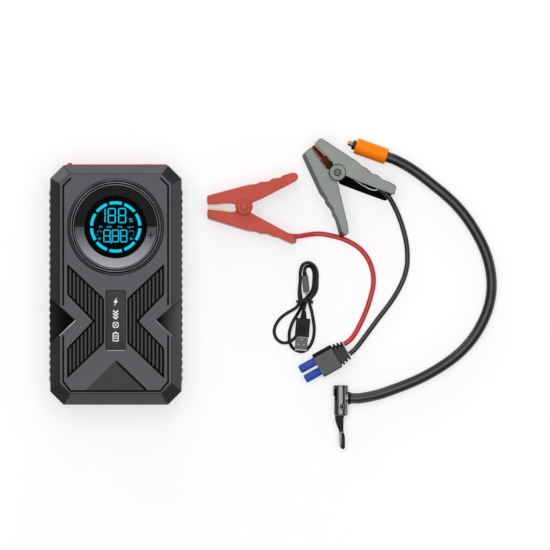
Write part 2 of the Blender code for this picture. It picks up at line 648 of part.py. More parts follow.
def inner_half_outline():
    """The narrower clamp half, which nests between the wider half's cheeks."""
    wave = [(33.9, -29.1), (28.7, -26.7), (25.2, -26.3), (20.9, -24.0), (13.0, -23.4), (10.4, -21.8),
            (3.5, -21.3)]
    handle_end = [(40.0, -23.9), (46.1, -28.4), (45.0, -31.8), (41.8, -32.6)]
    back = arc((0, 0), HUB_RADIUS, 205, -44, 12)
    return [(-32.0, -10.0), (-32.0, -2.4), (-9.6, -5.2)] + back + handle_end + wave + [(-30.5, -10.9)]


def clamp_half(name, outline, low, high, away, finish, frame):
    """A pressed-steel channel: two cheeks and a web along the side away from the other half."""
    half = prism(name, outline, low, high, finish, frame)
    pocket = [(1.03 * x, y - 1.8 * away) for x, y in outline]
    floor, ceiling = low + CLAMP_SHEET, high - CLAMP_SHEET
    cut(half, prism(f"{name}_channel", pocket, floor, ceiling, parent=frame),
        rod(f"{name}_hub_room", HUB_RADIUS + 0.6, floor, ceiling, (0, 0, 0), parent=frame),
        rod(f"{name}_hole", RIVET_RADIUS + GAP, -5, CLAMP_WIDTH + 5, (0, 0, 0), parent=frame, steps=20))


def jaw_plate(name, side, finish, frame):
    """A toothed copper strip inside one jaw, whose teeth run just clear of the jaw's edge."""
    tip, heel, back = JAW_EDGES[side]
    outline = [(JAW_HEEL, back), (JAW_TIP, back)]
    for corner in range(2 * JAW_TEETH):
        share = corner / (2 * JAW_TEETH)
        depth = 0.0 if corner % 2 == 0 else side * 0.7
        outline.append((JAW_TIP + share * (JAW_HEEL - JAW_TIP - 2.0), tip + share * (heel - tip) + depth))
    outline.append((JAW_HEEL, heel))
    prism(name, outline, JAW_LOW, CLAMP_WIDTH - JAW_LOW, finish, frame)


def make_spring(name, finish, frame):
    """The torsion spring's coil around the rivet, as a barrel, with the roots of its two legs."""
    high = CLAMP_WIDTH - SPRING_LOW
    wall = [(SPRING_INNER, SPRING_LOW), (SPRING_OUTER, SPRING_LOW), (SPRING_OUTER, high),
            (SPRING_INNER, high)]
    barrel = turned(name, wall, (0, 0, 0), finish=finish, parent=frame, steps=24)
    for index, (turn, height) in enumerate(((34.0, 16.6), (-37.0, 7.4))):
        direction = Vector((math.cos(math.radians(turn)), math.sin(math.radians(turn))))
        across = direction.orthogonal() * 0.7
        near, far = direction * 4.5, direction * 11.5
        outline = [tuple(near + across), tuple(near - across), tuple(far - across), tuple(far + across)]
        join(barrel, prism(f"{name}_leg_{index}", outline, height - 0.7, height + 0.7, parent=frame))


def make_clamp(word, pivot, turn, cable_half, paint, copper, steel):
    """One clamp about its rivet; the cable's half is fixed and the other half turns on the rivet."""
    frame = empty(f"{word}_clamp_axis", (*pivot, 0), turn)
    outer = f"{word}_fixed" if cable_half == "outer" else f"{word}_moving"
    inner = f"{word}_moving" if cable_half == "outer" else f"{word}_fixed"
    top = CLAMP_WIDTH - CLAMP_NEST
    clamp_half(f"{outer}_handle", outer_half_outline(), 0.0, CLAMP_WIDTH, 1, paint, frame)
    clamp_half(f"{inner}_handle", inner_half_outline(), CLAMP_NEST, top, -1, paint, frame)
    jaw_plate(f"{outer}_jaw", 1, copper, frame)
    jaw_plate(f"{inner}_jaw", -1, copper, frame)
    head = [(0, 0.3), (RIVET_RADIUS, 0.3), (RIVET_RADIUS, CLAMP_WIDTH + GAP), (3.0, CLAMP_WIDTH + GAP),
            (2.6, CLAMP_WIDTH + 1.2), (0, CLAMP_WIDTH + 1.4)]
    turned(f"{word}_rivet", head, (0, 0, 0), finish=steel, parent=frame, steps=24)
    make_spring(f"{word}_spring", steel, frame)


def make_plug(rubber, blue):
    """The jumper lead's plug: a ribbed boot over a housing with two round pins."""
    frame = empty("plug_frame", (*PLUG_REAR, 0), PLUG_TURN)
    one_side = [(0.0, 8.3), (1.6, 8.5), (1.6, 7.4), (3.0, 7.5), (3.0, 9.1), (4.8, 9.4), (4.8, 8.2),
                (6.2, 8.4), (6.2, 9.9), (8.0, 10.2), (8.0, 9.0), (9.4, 9.2), (9.4, 11.0), (26.9, 11.0)]
    outline = one_side + [(x, -y) for x, y in reversed(one_side)]
    boot = prism("plug_boot", outline, 0.0, 13.0, rubber, frame)
    cut(boot, box("boot_pocket", (21.6, -9.1, 2.3), (30.0, 9.1, 10.7), parent=frame))
    housing = box("plug_housing", (21.9, -8.8, 2.6), (27.1, 8.8, 10.4), blue, frame)
    for index, side in enumerate((-1, 1)):
        centre = (0, side * SOCKET_PITCH / 2, 6.5)
        join(housing, rod(f"plug_pin_{index}", 3.6, 25.0, 41.9, centre, "X", parent=frame, steps=24))
        cut(housing, rod(f"plug_pin_bore_{index}", 2.3, 30.0, 45.0, centre, "X", parent=frame, steps=20))


# ---------------------------------------------------------------------------------------------
# Air hose
# ---------------------------------------------------------------------------------------------

def make_collar(orange, brass):
    frame = empty("collar_frame", (*COLLAR_FRONT, COLLAR_RADIUS), COLLAR_TURN)
    length = COLLAR_LENGTH
    grip = [(0, 12.0), (3.4, 12.0), (3.4, 0), (6.2, 0), (COLLAR_RADIUS, 0.8), (COLLAR_RADIUS, 3.4),
            (6.5, 3.9), (6.5, length - 4.4), (COLLAR_RADIUS, length - 3.9), (COLLAR_RADIUS, length - 0.8),
            (6.2, length), (0, length)]
    turned("hose_collar", grip, (0, 0, 0), "X", orange, frame, steps=24)
    stem = [(0, -7.2), (1.9, -7.2), (2.4, -6.6), (2.4, -1.4), (3.3, -1.4), (3.3, -0.4), (3.1, -0.4),
            (3.1, 11.6), (0, 11.6)]
    turned("hose_nipple", stem, (0, 0, 0), "X", brass, frame, steps=24)


def make_chuck(chrome, rubber, steel):
    """The tyre chuck: a round body with a mouth for the valve, a side boss and a swinging lever."""
    centre = (CHUCK_X, 0, CHUCK_RADIUS)
    pin_x, pin_y = CHUCK_PIN
    shell = [(0, -114.0), (5.6, -114.0), (CHUCK_RADIUS, -113.2), (CHUCK_RADIUS, -88.3), (5.8, -87.3),
             (0, -87.3)]
    body = turned("chuck_body", shell, centre, "Y", chrome, steps=24)
    join(body, rod("chuck_boss", 4.4, 0, 7.6, (CHUCK_X, CHUCK_HOSE_Y, CHUCK_RADIUS), "X"))
    cut(body, rod("chuck_mouth", 4.2, -95.4, -80, centre, "Y"),
        box("lever_slot", (180, -120, 2.9), (206, pin_y + 4.6, 9.7)),
        box("lever_room", (180, pin_y + 4, 2.9), (pin_x + 0.4, pin_y + 9.5, 9.7)),
        rod("chuck_pin_hole", 1.6, -5, 20, (pin_x, pin_y, 0), steps=16))
    rod("chuck_pin", 1.3, 0.6, 12.3, (pin_x, pin_y, 0), finish=steel, steps=16)
    frame = empty("chuck_lever_axis", (pin_x, pin_y, 0))
    thumb = [(2.2, -7.0), (0.9, -9.6), (0.8, -22.4), (2.1, -25.4), (2.2, -35.6), (0.9, -37.4), (-0.9, -36.6),
             (-2.7, -33.1), (-2.7, -21.8), (-4.8, -16.5), (-6.5, -11.3), (-6.5, -6.1)]
    lever = prism("chuck_lever", arc((0, 0), 4.2, 190, -20, 12) + thumb, 3.3, 9.3, rubber, frame)
    cut(lever, rod("lever_hole", 1.6, -5, 20, (0, 0, 0), parent=frame, steps=16))


# ---------------------------------------------------------------------------------------------
# Charging lead
# ---------------------------------------------------------------------------------------------

def make_usb_a_plug(rubber, steel):
    frame = empty("usb_a_frame", (*USB_A_PLUG, USB_A_Z), USB_A_TURN)
    body = box("usb_a_body", (-6.2, -16.3, -3.7), (6.2, 0, 3.7), rubber, frame)
    relief = [(0, -2.0), (2.9, -2.0), (2.9, 0.4), (1.9, 6.6), (0, 6.6)]
    join(body, turned("usb_a_relief", relief, (0, 0, 0), "Y", parent=frame, steps=20))
    shell = box("usb_a_shell", (-5.4, -28.2, -2.25), (5.4, -16.6, 2.25), steel, frame)
    cut(shell, box("usb_a_mouth", (-5.0, -40, -1.85), (5.0, -18.5, 1.85), parent=frame))


def make_usb_c_plug(plastic):
    frame = empty("usb_c_frame", (*USB_C_PLUG, USB_C_Z), USB_C_TURN)
    body = box("usb_c_plug", (-2.8, -14.4, -4.6), (2.8, 0, 4.6), plastic, frame)
    tip = box("usb_c_tip", (-1.25, -16.6, -4.1), (1.25, -13.5, 4.1), parent=frame)
    relief = [(0, -2.0), (2.1, -2.0), (2.1, 0.3), (1.7, 2.4), (0, 2.4)]
    join(body, tip, turned("usb_c_relief", relief, (0, 0, 0), "Y", parent=frame, steps=20))


def make_cable_tie(rubber):
    """The flat band around the gathered strands."""
    x, y = TIE_CENTRE
    outline = [(x - 7.5, 1.4), (x - 6.0, 0.15), (x + 6.0, 0.15), (x + 7.5, 1.4), (x + 7.5, 5.2),
               (x + 4.7, 9.4), (x - 4.7, 9.4), (x - 7.5, 5.2)]
    inside = [(x - 6.8, 1.8), (x - 5.6, 0.9), (x + 5.6, 0.9), (x + 6.8, 1.8), (x + 6.8, 4.9),
              (x + 4.2, 8.6), (x - 4.2, 8.6), (x - 6.8, 4.9)]
    band = prism("cable_tie", outline, y - 1.0, y + 1.0, rubber, axis="Y")
    cut(band, prism("cable_tie_hollow", inside, y - 5, y + 5, axis="Y"))


# ---------------------------------------------------------------------------------------------
# The whole pack
# ---------------------------------------------------------------------------------------------

def make_materials():
    return {
        "shell": material("shell_plastic", (0.085, 0.085, 0.09), 0.55),
        "dark": material("dark_plastic", (0.02, 0.02, 0.022), 0.45),
        "gloss": material("gloss_black", (0.01, 0.01, 0.012), 0.12),
        "key": material("key_grey", (0.42, 0.43, 0.45), 0.35, 0.6),
        "trim": material("trim_chrome", (0.75, 0.76, 0.78), 0.2, 1.0),
        "red": material("red_plastic", (0.55, 0.03, 0.03), 0.35),
        "clamp_red": material("clamp_red", (0.62, 0.08, 0.06), 0.4),
        "clamp_black": material("clamp_black", (0.05, 0.05, 0.05), 0.4),
        "red_rubber": material("red_cable_rubber", (0.5, 0.02, 0.02), 0.45),
        "rubber": material("black_rubber", (0.02, 0.02, 0.02), 0.6),
        "hose": material("hose_rubber", (0.025, 0.035, 0.035), 0.4),
        "blue": material("plug_blue", (0.05, 0.12, 0.5), 0.35),
        "orange": material("orange_plastic", (1.0, 0.3, 0.02), 0.3),
        "copper": material("copper", (0.8, 0.38, 0.2), 0.3, 1.0),
        "brass": material("brass", (0.75, 0.55, 0.25), 0.25, 1.0),
        "chrome": material("chrome", (0.8, 0.8, 0.82), 0.12, 1.0),
        "steel": material("steel", (0.55, 0.55, 0.57), 0.3, 1.0),
        "casting": material("cast_alloy", (0.5, 0.5, 0.5), 0.5, 1.0),
        "nylon": material("white_nylon", (0.8, 0.8, 0.76), 0.5),
        "board": material("circuit_board", (0.02, 0.2, 0.08), 0.5),
        "foil": material("cell_foil", (0.6, 0.62, 0.66), 0.35, 0.8),
        "clear": material("clear_lens", (0.9, 0.92, 0.95), 0.08),
        "grey": material("grey_plastic", (0.25, 0.26, 0.26), 0.45),
    }


def make_power_unit(m):
    make_bottom_shell(m["dark"])
    make_top_shell(m["shell"])
    make_side_grip("left", -1, m["rubber"])
    make_side_grip("right", 1, m["rubber"])
    make_case_screws(m["steel"])
    make_label_plate(m["gloss"])
    make_dial(m["dark"], m["trim"], m["gloss"], m["key"], m["gloss"], m["board"])
    make_port_panel(m["red"])
    make_port_flap(m["rubber"])
    make_power_button(m["dark"])
    make_torch(m["chrome"], m["clear"])
    make_sockets(m["steel"], m["brass"], m["blue"])
    make_batteries(m["foil"])
    make_motor(m["steel"])
    make_gears(m["nylon"], m["steel"])
    make_pump_body(m["casting"])
    make_piston(m["casting"])
    make_main_board(m["board"])


def make_accessories(m):
    make_clamp("red", RED_PIVOT, RED_TURN, "inner", m["clamp_red"], m["copper"], m["steel"])
    make_clamp("black", BLACK_PIVOT, BLACK_TURN, "outer", m["clamp_black"], m["copper"], m["steel"])
    make_plug(m["rubber"], m["blue"])
    tube("red_cable", RED_CABLE_ROUTE, CABLE_DIAMETER, m["red_rubber"], 2.2)
    tube("black_cable", BLACK_CABLE_ROUTE, CABLE_DIAMETER, m["rubber"], 2.2)
    make_collar(m["orange"], m["brass"])
    tube("hose", HOSE_ROUTE, HOSE_DIAMETER, m["hose"], 2.0)
    make_chuck(m["chrome"], m["rubber"], m["steel"])
    make_usb_a_plug(m["rubber"], m["steel"])
    make_usb_c_plug(m["grey"])
    tube("usb_cord", CHARGING_LEAD_ROUTE, LEAD_DIAMETER, m["rubber"], 1.8)
    make_cable_tie(m["rubber"])


clear_scene()
MATERIALS = make_materials()
make_power_unit(MATERIALS)
make_accessories(MATERIALS)
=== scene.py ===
"""The looks of a jump starter pack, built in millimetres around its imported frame."""

import math

import bmesh
import bpy
from mathutils import Matrix, Vector


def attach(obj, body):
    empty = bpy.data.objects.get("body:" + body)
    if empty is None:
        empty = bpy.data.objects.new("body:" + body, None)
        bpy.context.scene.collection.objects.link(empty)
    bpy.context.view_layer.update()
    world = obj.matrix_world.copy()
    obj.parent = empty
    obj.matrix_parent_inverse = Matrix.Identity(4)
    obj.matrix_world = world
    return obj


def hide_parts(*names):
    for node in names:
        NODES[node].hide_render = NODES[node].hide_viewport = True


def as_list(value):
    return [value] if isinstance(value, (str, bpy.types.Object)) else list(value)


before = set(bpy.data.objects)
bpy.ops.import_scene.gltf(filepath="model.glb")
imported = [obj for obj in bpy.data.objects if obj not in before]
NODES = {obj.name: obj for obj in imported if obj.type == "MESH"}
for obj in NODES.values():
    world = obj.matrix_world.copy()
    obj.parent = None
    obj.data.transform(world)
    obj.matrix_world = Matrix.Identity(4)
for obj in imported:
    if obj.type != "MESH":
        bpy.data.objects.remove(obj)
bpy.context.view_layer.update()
MM = 0.001

# Power unit, in millimetres, about the middle of its underside
HALF_WIDTH, HALF_LENGTH, CORNER_CUT = 57.0, 104.0, 11.5
PARTING_HEIGHT, RIM_HEIGHT, UNIT_HEIGHT = 22.3, 39.0, 46.0
TOP_HALF_WIDTH, TOP_FRONT, TOP_BACK, TOP_CORNER_CUT = 48.5, 96.6, -94.0, 9.0
DIAL_Y = 50.4
BEZEL_RADIUS, TRIM_RADIUS, KEY_RADIUS, LENS_RADIUS = 42.1, 39.3, 35.8, 27.0
LENS_TOP = 47.2
FINE_STEPS = 128  # round a large turned piece
PANEL_FACE, BUTTON_FACE = 104.9, 106.1
WALL, GAP = 2.4, 0.15
SIDES = ((-1, "left"), (1, "right"))

# Accessories, in millimetres
CLAMP_WIDTH, CLAMP_NEST, CLAMP_SHEET = 24.0, 2.3, 1.6
HUB_RADIUS, RIVET_RADIUS = 7.2, 2.0
PRONG_OFFSET = 4.75
CABLE_DIAMETER, HOSE_DIAMETER, LEAD_DIAMETER = 4.4, 9.2, 2.9


def place(x, y, z=0.0, turn=0.0):
    """A frame of reference at a point in millimetres, turned about Z in degrees."""
    return Matrix.Translation((x, y, z)) @ Matrix.Rotation(math.radians(turn), 4, "Z")


ORIGIN = Matrix.Identity(4)
DIAL = place(0, DIAL_Y)
RED_CLAMP = place(111.4, 68.3)
BLACK_CLAMP = place(192.7, 97.9, 0.0, -48.0)
PLUG = place(200.5, -56.6, 0.0, 209.3)
COLLAR = place(208.6, 121.4, 7.0, -19.8)
USB_A = place(163.0, -29.0, 7.4, -4.6)
USB_C = place(164.4, 8.0, 4.9, 5.3)
TIE = place(164.0, -14.4)
CHUCK = place(195.5, 0.0, 6.3)
CHUCK_HOSE = CHUCK @ place(0, -98.7)
PIN_X, PIN_Y = 197.1, -106.1
CHUCK_PIN = place(PIN_X, PIN_Y)

# The middle lines of the free cords, as in the CAD
RED_CABLE_ROUTE = [
    (129.4, 51.8, 6.6), (141.4, 46.3, 6.6), (151.0, 42.8, 6.6), (158.0, 42.4, 6.3), (165.4, 43.5, 4.4),
    (172.6, 44.4, 2.7), (179.2, 44.4, 2.25), (186.2, 43.2, 2.25), (194.9, 41.0, 2.25), (203.6, 37.4, 2.25),
    (211.6, 32.2, 2.25), (217.8, 25.2, 2.25), (221.8, 17.2, 2.25), (223.9, 8.6, 2.25), (223.9, -0.4, 2.25),
    (221.9, -9.4, 2.25), (219.2, -18.4, 2.25), (215.6, -27.4, 2.25), (211.2, -36.6, 2.7), (206.6, -44.4, 4.1),
    (202.8, -48.6, 4.9), (198.4, -51.8, 5.0),
]
BLACK_CABLE_ROUTE = [
    (216.1, 92.1, 6.6), (223.5, 87.9, 6.6), (230.6, 83.4, 6.5), (237.3, 76.8, 5.4), (242.7, 67.6, 3.4),
    (247.1, 57.4, 2.25), (250.4, 47.0, 2.25), (252.8, 36.5, 2.25), (253.7, 26.1, 2.25), (253.3, 16.6, 2.25),
    (251.0, 7.2, 2.25), (247.0, -2.0, 2.25), (241.6, -11.3, 2.25), (235.0, -20.6, 2.25), (228.0, -29.6, 2.25),
    (221.4, -38.6, 2.5), (214.4, -48.0, 4.0), (208.2, -55.8, 4.9), (203.2, -60.2, 5.0),
]
HOSE_ROUTE = [
    (236.1, 111.5, 7.0), (243.0, 109.0, 7.0), (253.4, 103.6, 5.8), (264.2, 96.4, 4.7), (275.4, 87.6, 4.7),
    (286.0, 79.0, 4.7), (296.0, 69.6, 4.7), (305.0, 58.8, 4.7), (312.8, 46.8, 4.7), (319.4, 34.2, 4.7),
    (324.2, 20.8, 4.7), (326.7, 7.0, 4.7), (326.7, -6.8, 4.7), (324.0, -20.2, 4.7), (318.6, -33.4, 4.7),
    (310.6, -46.5, 4.7), (300.1, -58.3, 4.7), (288.0, -67.9, 4.7), (274.1, -76.6, 4.7), (259.3, -84.0, 4.7),
    (243.6, -90.2, 4.7), (228.4, -95.4, 5.4), (213.0, -98.6, 6.3), (203.7, -98.7, 6.3),
]
CHARGING_LEAD_ROUTE = [
    (163.6, -21.6, 7.5), (163.9, -19.2, 7.5), (165.4, -14.4, 6.2), (168.6, -10.0, 5.5), (172.5, -3.4, 4.9),
    (174.2, 4.2, 4.8), (174.8, 10.8, 4.8), (172.5, 16.6, 4.8), (167.5, 19.5, 4.8), (162.4, 17.4, 4.8),
    (160.4, 11.3, 4.8), (160.3, 4.0, 4.8), (160.0, -4.0, 4.9), (160.8, -10.0, 5.6), (161.6, -14.4, 6.2),
    (160.8, -20.0, 4.6), (157.2, -26.4, 2.3), (153.6, -32.6, 1.7), (151.2, -39.4, 2.6), (150.6, -45.2, 4.6),
    (151.2, -50.2, 4.9), (153.8, -54.8, 3.0), (158.6, -57.7, 1.7), (164.0, -57.6, 1.6), (168.8, -53.1, 1.6),
    (171.6, -46.5, 1.6), (172.5, -39.2, 1.6), (171.8, -31.3, 1.6), (170.2, -22.8, 1.9), (168.2, -14.4, 2.8),
    (170.0, -11.0, 2.5), (173.3, -6.8, 1.9), (174.8, -1.6, 1.5), (175.0, 4.6, 1.5), (174.9, 10.8, 1.5),
    (172.5, 16.6, 1.5), (167.5, 19.5, 1.5), (162.4, 17.4, 1.5), (160.4, 11.3, 1.5), (160.2, 4.0, 1.5),
    (159.4, -4.0, 1.5), (159.4, -10.0, 2.2), (159.8, -14.4, 2.8), (157.6, -18.8, 2.1), (153.4, -21.9, 1.6),
    (148.4, -24.8, 1.6), (143.2, -28.9, 1.6), (139.1, -34.6, 1.6), (137.6, -41.0, 1.6), (139.7, -46.8, 1.6),
    (144.4, -50.2, 1.6), (149.8, -50.0, 1.5), (154.6, -47.0, 1.5), (158.3, -42.2, 1.6), (160.6, -36.4, 1.6),
    (162.1, -29.6, 1.7), (163.1, -22.0, 2.1), (163.5, -14.4, 2.8), (166.0, -10.8, 2.2), (169.8, -6.6, 1.6),
    (171.7, -1.4, 1.6), (172.1, 4.2, 1.6), (172.2, 9.5, 1.6), (171.2, 14.0, 2.0), (168.5, 16.3, 2.9),
    (165.5, 15.9, 4.1), (164.2, 13.7, 4.8), (164.0, 11.2, 4.9),
]


# ---- Materials ----

FINISH = {}


def fill_sockets(node, **sockets):
    """Set a node's sockets by name, with _ for each space."""
    for socket, value in sockets.items():
        node.inputs[socket.replace("_", " ")].default_value = value
    return node


def add_node(nodes, kind, **sockets):
    return fill_sockets(nodes.new(f"ShaderNode{kind}"), **sockets)


def surface(name, colour, roughness, metallic=0.0, specular=0.5, tint=0.12, patch=18.0, grain=0.5, bump=0.02,
            spread=0.07, stretch=(1.0, 1.0, 1.0), **sockets):
    """A procedural finish: broad patches of tone and gloss, and a fine bumpy grain, sized in millimetres."""
    finish = FINISH[name] = bpy.data.materials.new(name)
    finish.use_nodes = True
    nodes, links = finish.node_tree.nodes, finish.node_tree.links
    shader = nodes["Principled BSDF"]
    fill_sockets(shader, Metallic=metallic, Specular_IOR_Level=specular, **sockets)
    where = add_node(nodes, "TexCoord")
    mapping = add_node(nodes, "Mapping", Scale=stretch)
    links.new(where.outputs["Object"], mapping.inputs["Vector"])
    broad = add_node(nodes, "TexNoise", Scale=1 / (patch * MM), Detail=4.0)
    fine = add_node(nodes, "TexNoise", Scale=1 / (grain * MM), Detail=2.0)
    for noise in (broad, fine):
        links.new(mapping.outputs["Vector"], noise.inputs["Vector"])
    tones = add_node(nodes, "ValToRGB")
    low, high = tones.color_ramp.elements
    low.position, high.position = 0.3, 0.7
    low.color = (*[value * (1 - tint) for value in colour], 1.0)
    high.color = (*[min(1.0, value * (1 + tint)) for value in colour], 1.0)
    links.new(broad.outputs["Fac"], tones.inputs["Fac"])
    links.new(tones.outputs["Color"], shader.inputs["Base Color"])
    gloss = add_node(nodes, "MapRange", To_Min=max(0.02, roughness - spread),
                     To_Max=min(1.0, roughness + spread))
    links.new(fine.outputs["Fac"], gloss.inputs["Value"])
    links.new(gloss.outputs["Result"], shader.inputs["Roughness"])
    relief = add_node(nodes, "Bump", Distance=bump * MM)
    links.new(fine.outputs["Fac"], relief.inputs["Height"])
    links.new(relief.outputs["Normal"], shader.inputs["Normal"])


def shade_along(axis, name, low_place, high_place, low_tone, high_tone):
    """Paint shade into a finish along an axis: darken it between two places in millimetres, from one tone to
    another.
    """
    nodes, links = FINISH[name].node_tree.nodes, FINISH[name].node_tree.links
    tones = next(node for node in nodes if node.bl_idname == "ShaderNodeValToRGB")
    where, split = add_node(nodes, "TexCoord"), add_node(nodes, "SeparateXYZ")
    links.new(where.outputs["Object"], split.inputs["Vector"])
    along = add_node(nodes, "MapRange", From_Min=low_place * MM, From_Max=high_place * MM)
    links.new(split.outputs[axis], along.inputs["Value"])
    fade = add_node(nodes, "ValToRGB")
    for element, tone in zip(fade.color_ramp.elements, (low_tone, high_tone)):
        element.color = (*tone, 1.0)
    links.new(along.outputs["Result"], fade.inputs["Fac"])
    blend = add_node(nodes, "Mix")
    blend.data_type, blend.blend_type = "RGBA", "MULTIPLY"
    blend.inputs["Factor"].default_value = 1.0
    links.new(tones.outputs["Color"], blend.inputs["A"])
    links.new(fade.outputs["Color"], blend.inputs["B"])
    links.new(blend.outputs["Result"], nodes["Principled BSDF"].inputs["Base Color"])


# Moulded and painted plastic
SHELL = {"grain": 0.35, "bump": 0.012}
surface("case", (0.013, 0.013, 0.0155), 0.33, specular=0.56, tint=0.08,
        Specular_Tint=(0.95, 0.94, 1.0, 1.0), **SHELL)
surface("case_low", (0.012, 0.012, 0.014), 0.40, grain=0.35)
surface("facet", (0.014, 0.014, 0.015), 0.42, specular=0.28, tint=0.08, **SHELL)
surface("rib", (0.016, 0.016, 0.018), 0.40, specular=0.32, **SHELL)
# Two greys for thin strips laid along edges: painted highlights standing for light caught by bevels, the
# first bright and the second faint.
surface("lip", (0.30, 0.30, 0.31), 0.35, 0.6, grain=0.3, bump=0.004)
surface("lip_faint_highlight", (0.11, 0.11, 0.115), 0.35, 0.6, grain=0.3, bump=0.004)
# Near black laid inside grooves, holes, seats and slots, and on the faces such cuts leave: painted shade in
# recesses; it also colours a few small marks and pins.
surface("groove", (0.003, 0.003, 0.003), 0.6, specular=0.02)
surface("gloss", (0.004, 0.0045, 0.006), 0.2, specular=0.05, bump=0.002, spread=0.03)
surface("glass", (0.0006, 0.0006, 0.0006), 0.1, specular=0.01, bump=0.0005, spread=0.02)
surface("print", (0.86, 0.87, 0.88), 0.5, tint=0.03, bump=0.004)
surface("red", (0.55, 0.025, 0.02), 0.34, specular=0.3, grain=0.4, bump=0.015)
surface("blue", (0.030, 0.075, 0.36), 0.36, specular=0.15, tint=0.18, patch=6.0, grain=0.4, bump=0.01)
surface("orange", (1.0, 0.215, 0.0), 0.34, specular=0.08, tint=0.05, grain=0.9, bump=0.01)
surface("grey", (0.085, 0.090, 0.090), 0.42, specular=0.25, grain=0.4)
surface("dark", (0.002, 0.005, 0.006), 0.4, specular=0.14, grain=0.4)
surface("nylon", (0.72, 0.72, 0.68), 0.45, tint=0.04)
surface("insert", (0.75, 0.74, 0.70), 0.5, tint=0.04)
surface("board", (0.012, 0.12, 0.05), 0.35, tint=0.25, patch=4.0)
surface("lens", (0.80, 0.84, 0.88), 0.06, bump=0.001, spread=0.02, Transmission_Weight=0.85, IOR=1.49)
# The key's finish is painted darker towards the ends of its arc and lighter at its bottom: a painted sheen
# and shade.
surface("key", (0.20, 0.205, 0.215), 0.36, 0.55, tint=0.10, patch=9.0, grain=0.12, bump=0.004)
shade_along("Y", "key", 18.0, 46.0, (1.0, 1.0, 1.0), (0.14, 0.14, 0.15))
# The scoops' floors are painted near black at their inner point and lighter outward, the left one darker
# throughout: painted shade in the hollows.
surface("scoop", (0.075, 0.075, 0.08), 0.5, specular=0.05, grain=0.35, bump=0.01)
shade_along("X", "scoop", 38.0, 54.0, (0.02, 0.02, 0.02), (1.0, 1.0, 1.0))
surface("scoop_painted_shade_left", (0.020, 0.020, 0.023), 0.5, specular=0.05, grain=0.35, bump=0.01)
shade_along("X", "scoop_painted_shade_left", -60.0, -44.0, (1.0, 1.0, 1.0), (0.06, 0.06, 0.06))

# The display's light
for name, green, blue, strength in (("glow", 0.70, 1.0, 0.95), ("glow_dim", 0.42, 0.65, 0.7)):
    surface(name, (0.0, 0.02, 0.03), 0.6, specular=0.0, tint=0.1, Emission_Color=(0.0, green, blue, 1.0),
            Emission_Strength=strength)

# Rubber and dipped coatings
surface("grip", (0.022, 0.022, 0.025), 0.6, grain=0.25, bump=0.03)
surface("clamp_red", (0.52, 0.072, 0.048), 0.40, specular=0.14, tint=0.08, patch=14.0, grain=1.6, bump=0.03)
# The side finishes are darker copies of each clamp's paint, for the faces that are not turned up and for the
# inside of the channel: painted shade.
surface("clamp_red_side", (0.30, 0.018, 0.014), 0.34, specular=0.3, grain=1.6, bump=0.03)
surface("clamp_black", (0.19, 0.215, 0.19), 0.32, tint=0.10, patch=16.0, grain=1.6, bump=0.03)
surface("clamp_black_side", (0.010, 0.012, 0.0115), 0.4, specular=0.1, grain=1.6, bump=0.03)
surface("red_rubber", (0.50, 0.016, 0.014), 0.30, patch=30.0, grain=0.8, bump=0.015)
surface("rubber", (0.007, 0.007, 0.0075), 0.24, patch=30.0, grain=0.8, bump=0.015)
surface("lead", (0.003, 0.003, 0.0035), 0.18, specular=0.22, patch=30.0, grain=0.8, bump=0.01)
surface("hose", (0.006, 0.010, 0.010), 0.28, patch=40.0, grain=0.9)
surface("boot_rib", (0.012, 0.012, 0.012), 0.4, specular=0.3, grain=0.6)
surface("boot", (0.036, 0.039, 0.036), 0.42, patch=8.0, bump=0.03)

# Metal
BRUSHED = {"grain": 0.3, "bump": 0.004, "stretch": (1.0, 0.06, 1.0)}
surface("trim", (0.15, 0.155, 0.165), 0.24, 1.0, grain=0.3, bump=0.002)
surface("copper", (0.46, 0.27, 0.17), 0.30, 1.0, tint=0.35, patch=1.2, grain=0.3)
surface("copper_mid", (0.24, 0.11, 0.065), 0.4, 0.6, tint=0.5, patch=1.6)
surface("copper_dark", (0.055, 0.018, 0.010), 0.40, 0.9, tint=0.5, patch=2.0, grain=0.3, bump=0.03)
surface("rivet", (0.070, 0.074, 0.072), 0.32, 0.9, tint=0.1, patch=2.0, grain=0.3, bump=0.01)
surface("wire", (0.42, 0.42, 0.42), 0.22, 1.0, tint=0.1, patch=4.0, grain=0.3, bump=0.004)
surface("brass", (0.36, 0.24, 0.09), 0.26, 1.0, tint=0.25, patch=3.0, grain=0.25, bump=0.006)
surface("chrome", (0.15, 0.15, 0.152), 0.16, 1.0, tint=0.08, bump=0.002, spread=0.04)
surface("steel", (0.16, 0.16, 0.16), 0.3, 1.0, patch=5.0, **BRUSHED)
surface("plug_shell", (0.060, 0.058, 0.053), 0.30, 1.0, tint=0.2, patch=4.0, **BRUSHED)
surface("casting", (0.36, 0.36, 0.36), 0.55, 1.0, grain=0.8, bump=0.05)
surface("foil", (0.48, 0.50, 0.54), 0.38, 0.9, grain=1.2, bump=0.03)

# The floor, lit a little from within so that it stays pale
surface("floor", (0.42, 0.42, 0.42), 0.9, specular=0.1, tint=0.01, patch=400.0, grain=2.0, bump=0.01,
        Emission_Color=(1.0, 1.0, 1.0, 1.0), Emission_Strength=0.58)


# ---- Making pieces ----

SHARP = 38.0  # a steeper edge than this, in degrees, is shaded as an edge


def put(name, data):
    """A new object in the scene."""
    item = bpy.data.objects.new(name, data)
    bpy.context.scene.collection.objects.link(item)
    return item


def shade(mesh, sharp=SHARP):
    mesh.shade_smooth()
    mesh.set_sharp_from_angle(angle=math.radians(sharp))


def finish_shape(name, shape, finish, where=ORIGIN, sharp=SHARP):
    """An object in metres from a shape in millimetres."""
    bmesh.ops.recalc_face_normals(shape, faces=shape.faces)
    bmesh.ops.transform(shape, matrix=Matrix.Scale(MM, 4) @ where, verts=shape.verts)
    mesh = bpy.data.meshes.new(name)
    shape.to_mesh(mesh)
    shape.free()
    shade(mesh, sharp)
    mesh.materials.append(FINISH[finish])
    return put(name, mesh)


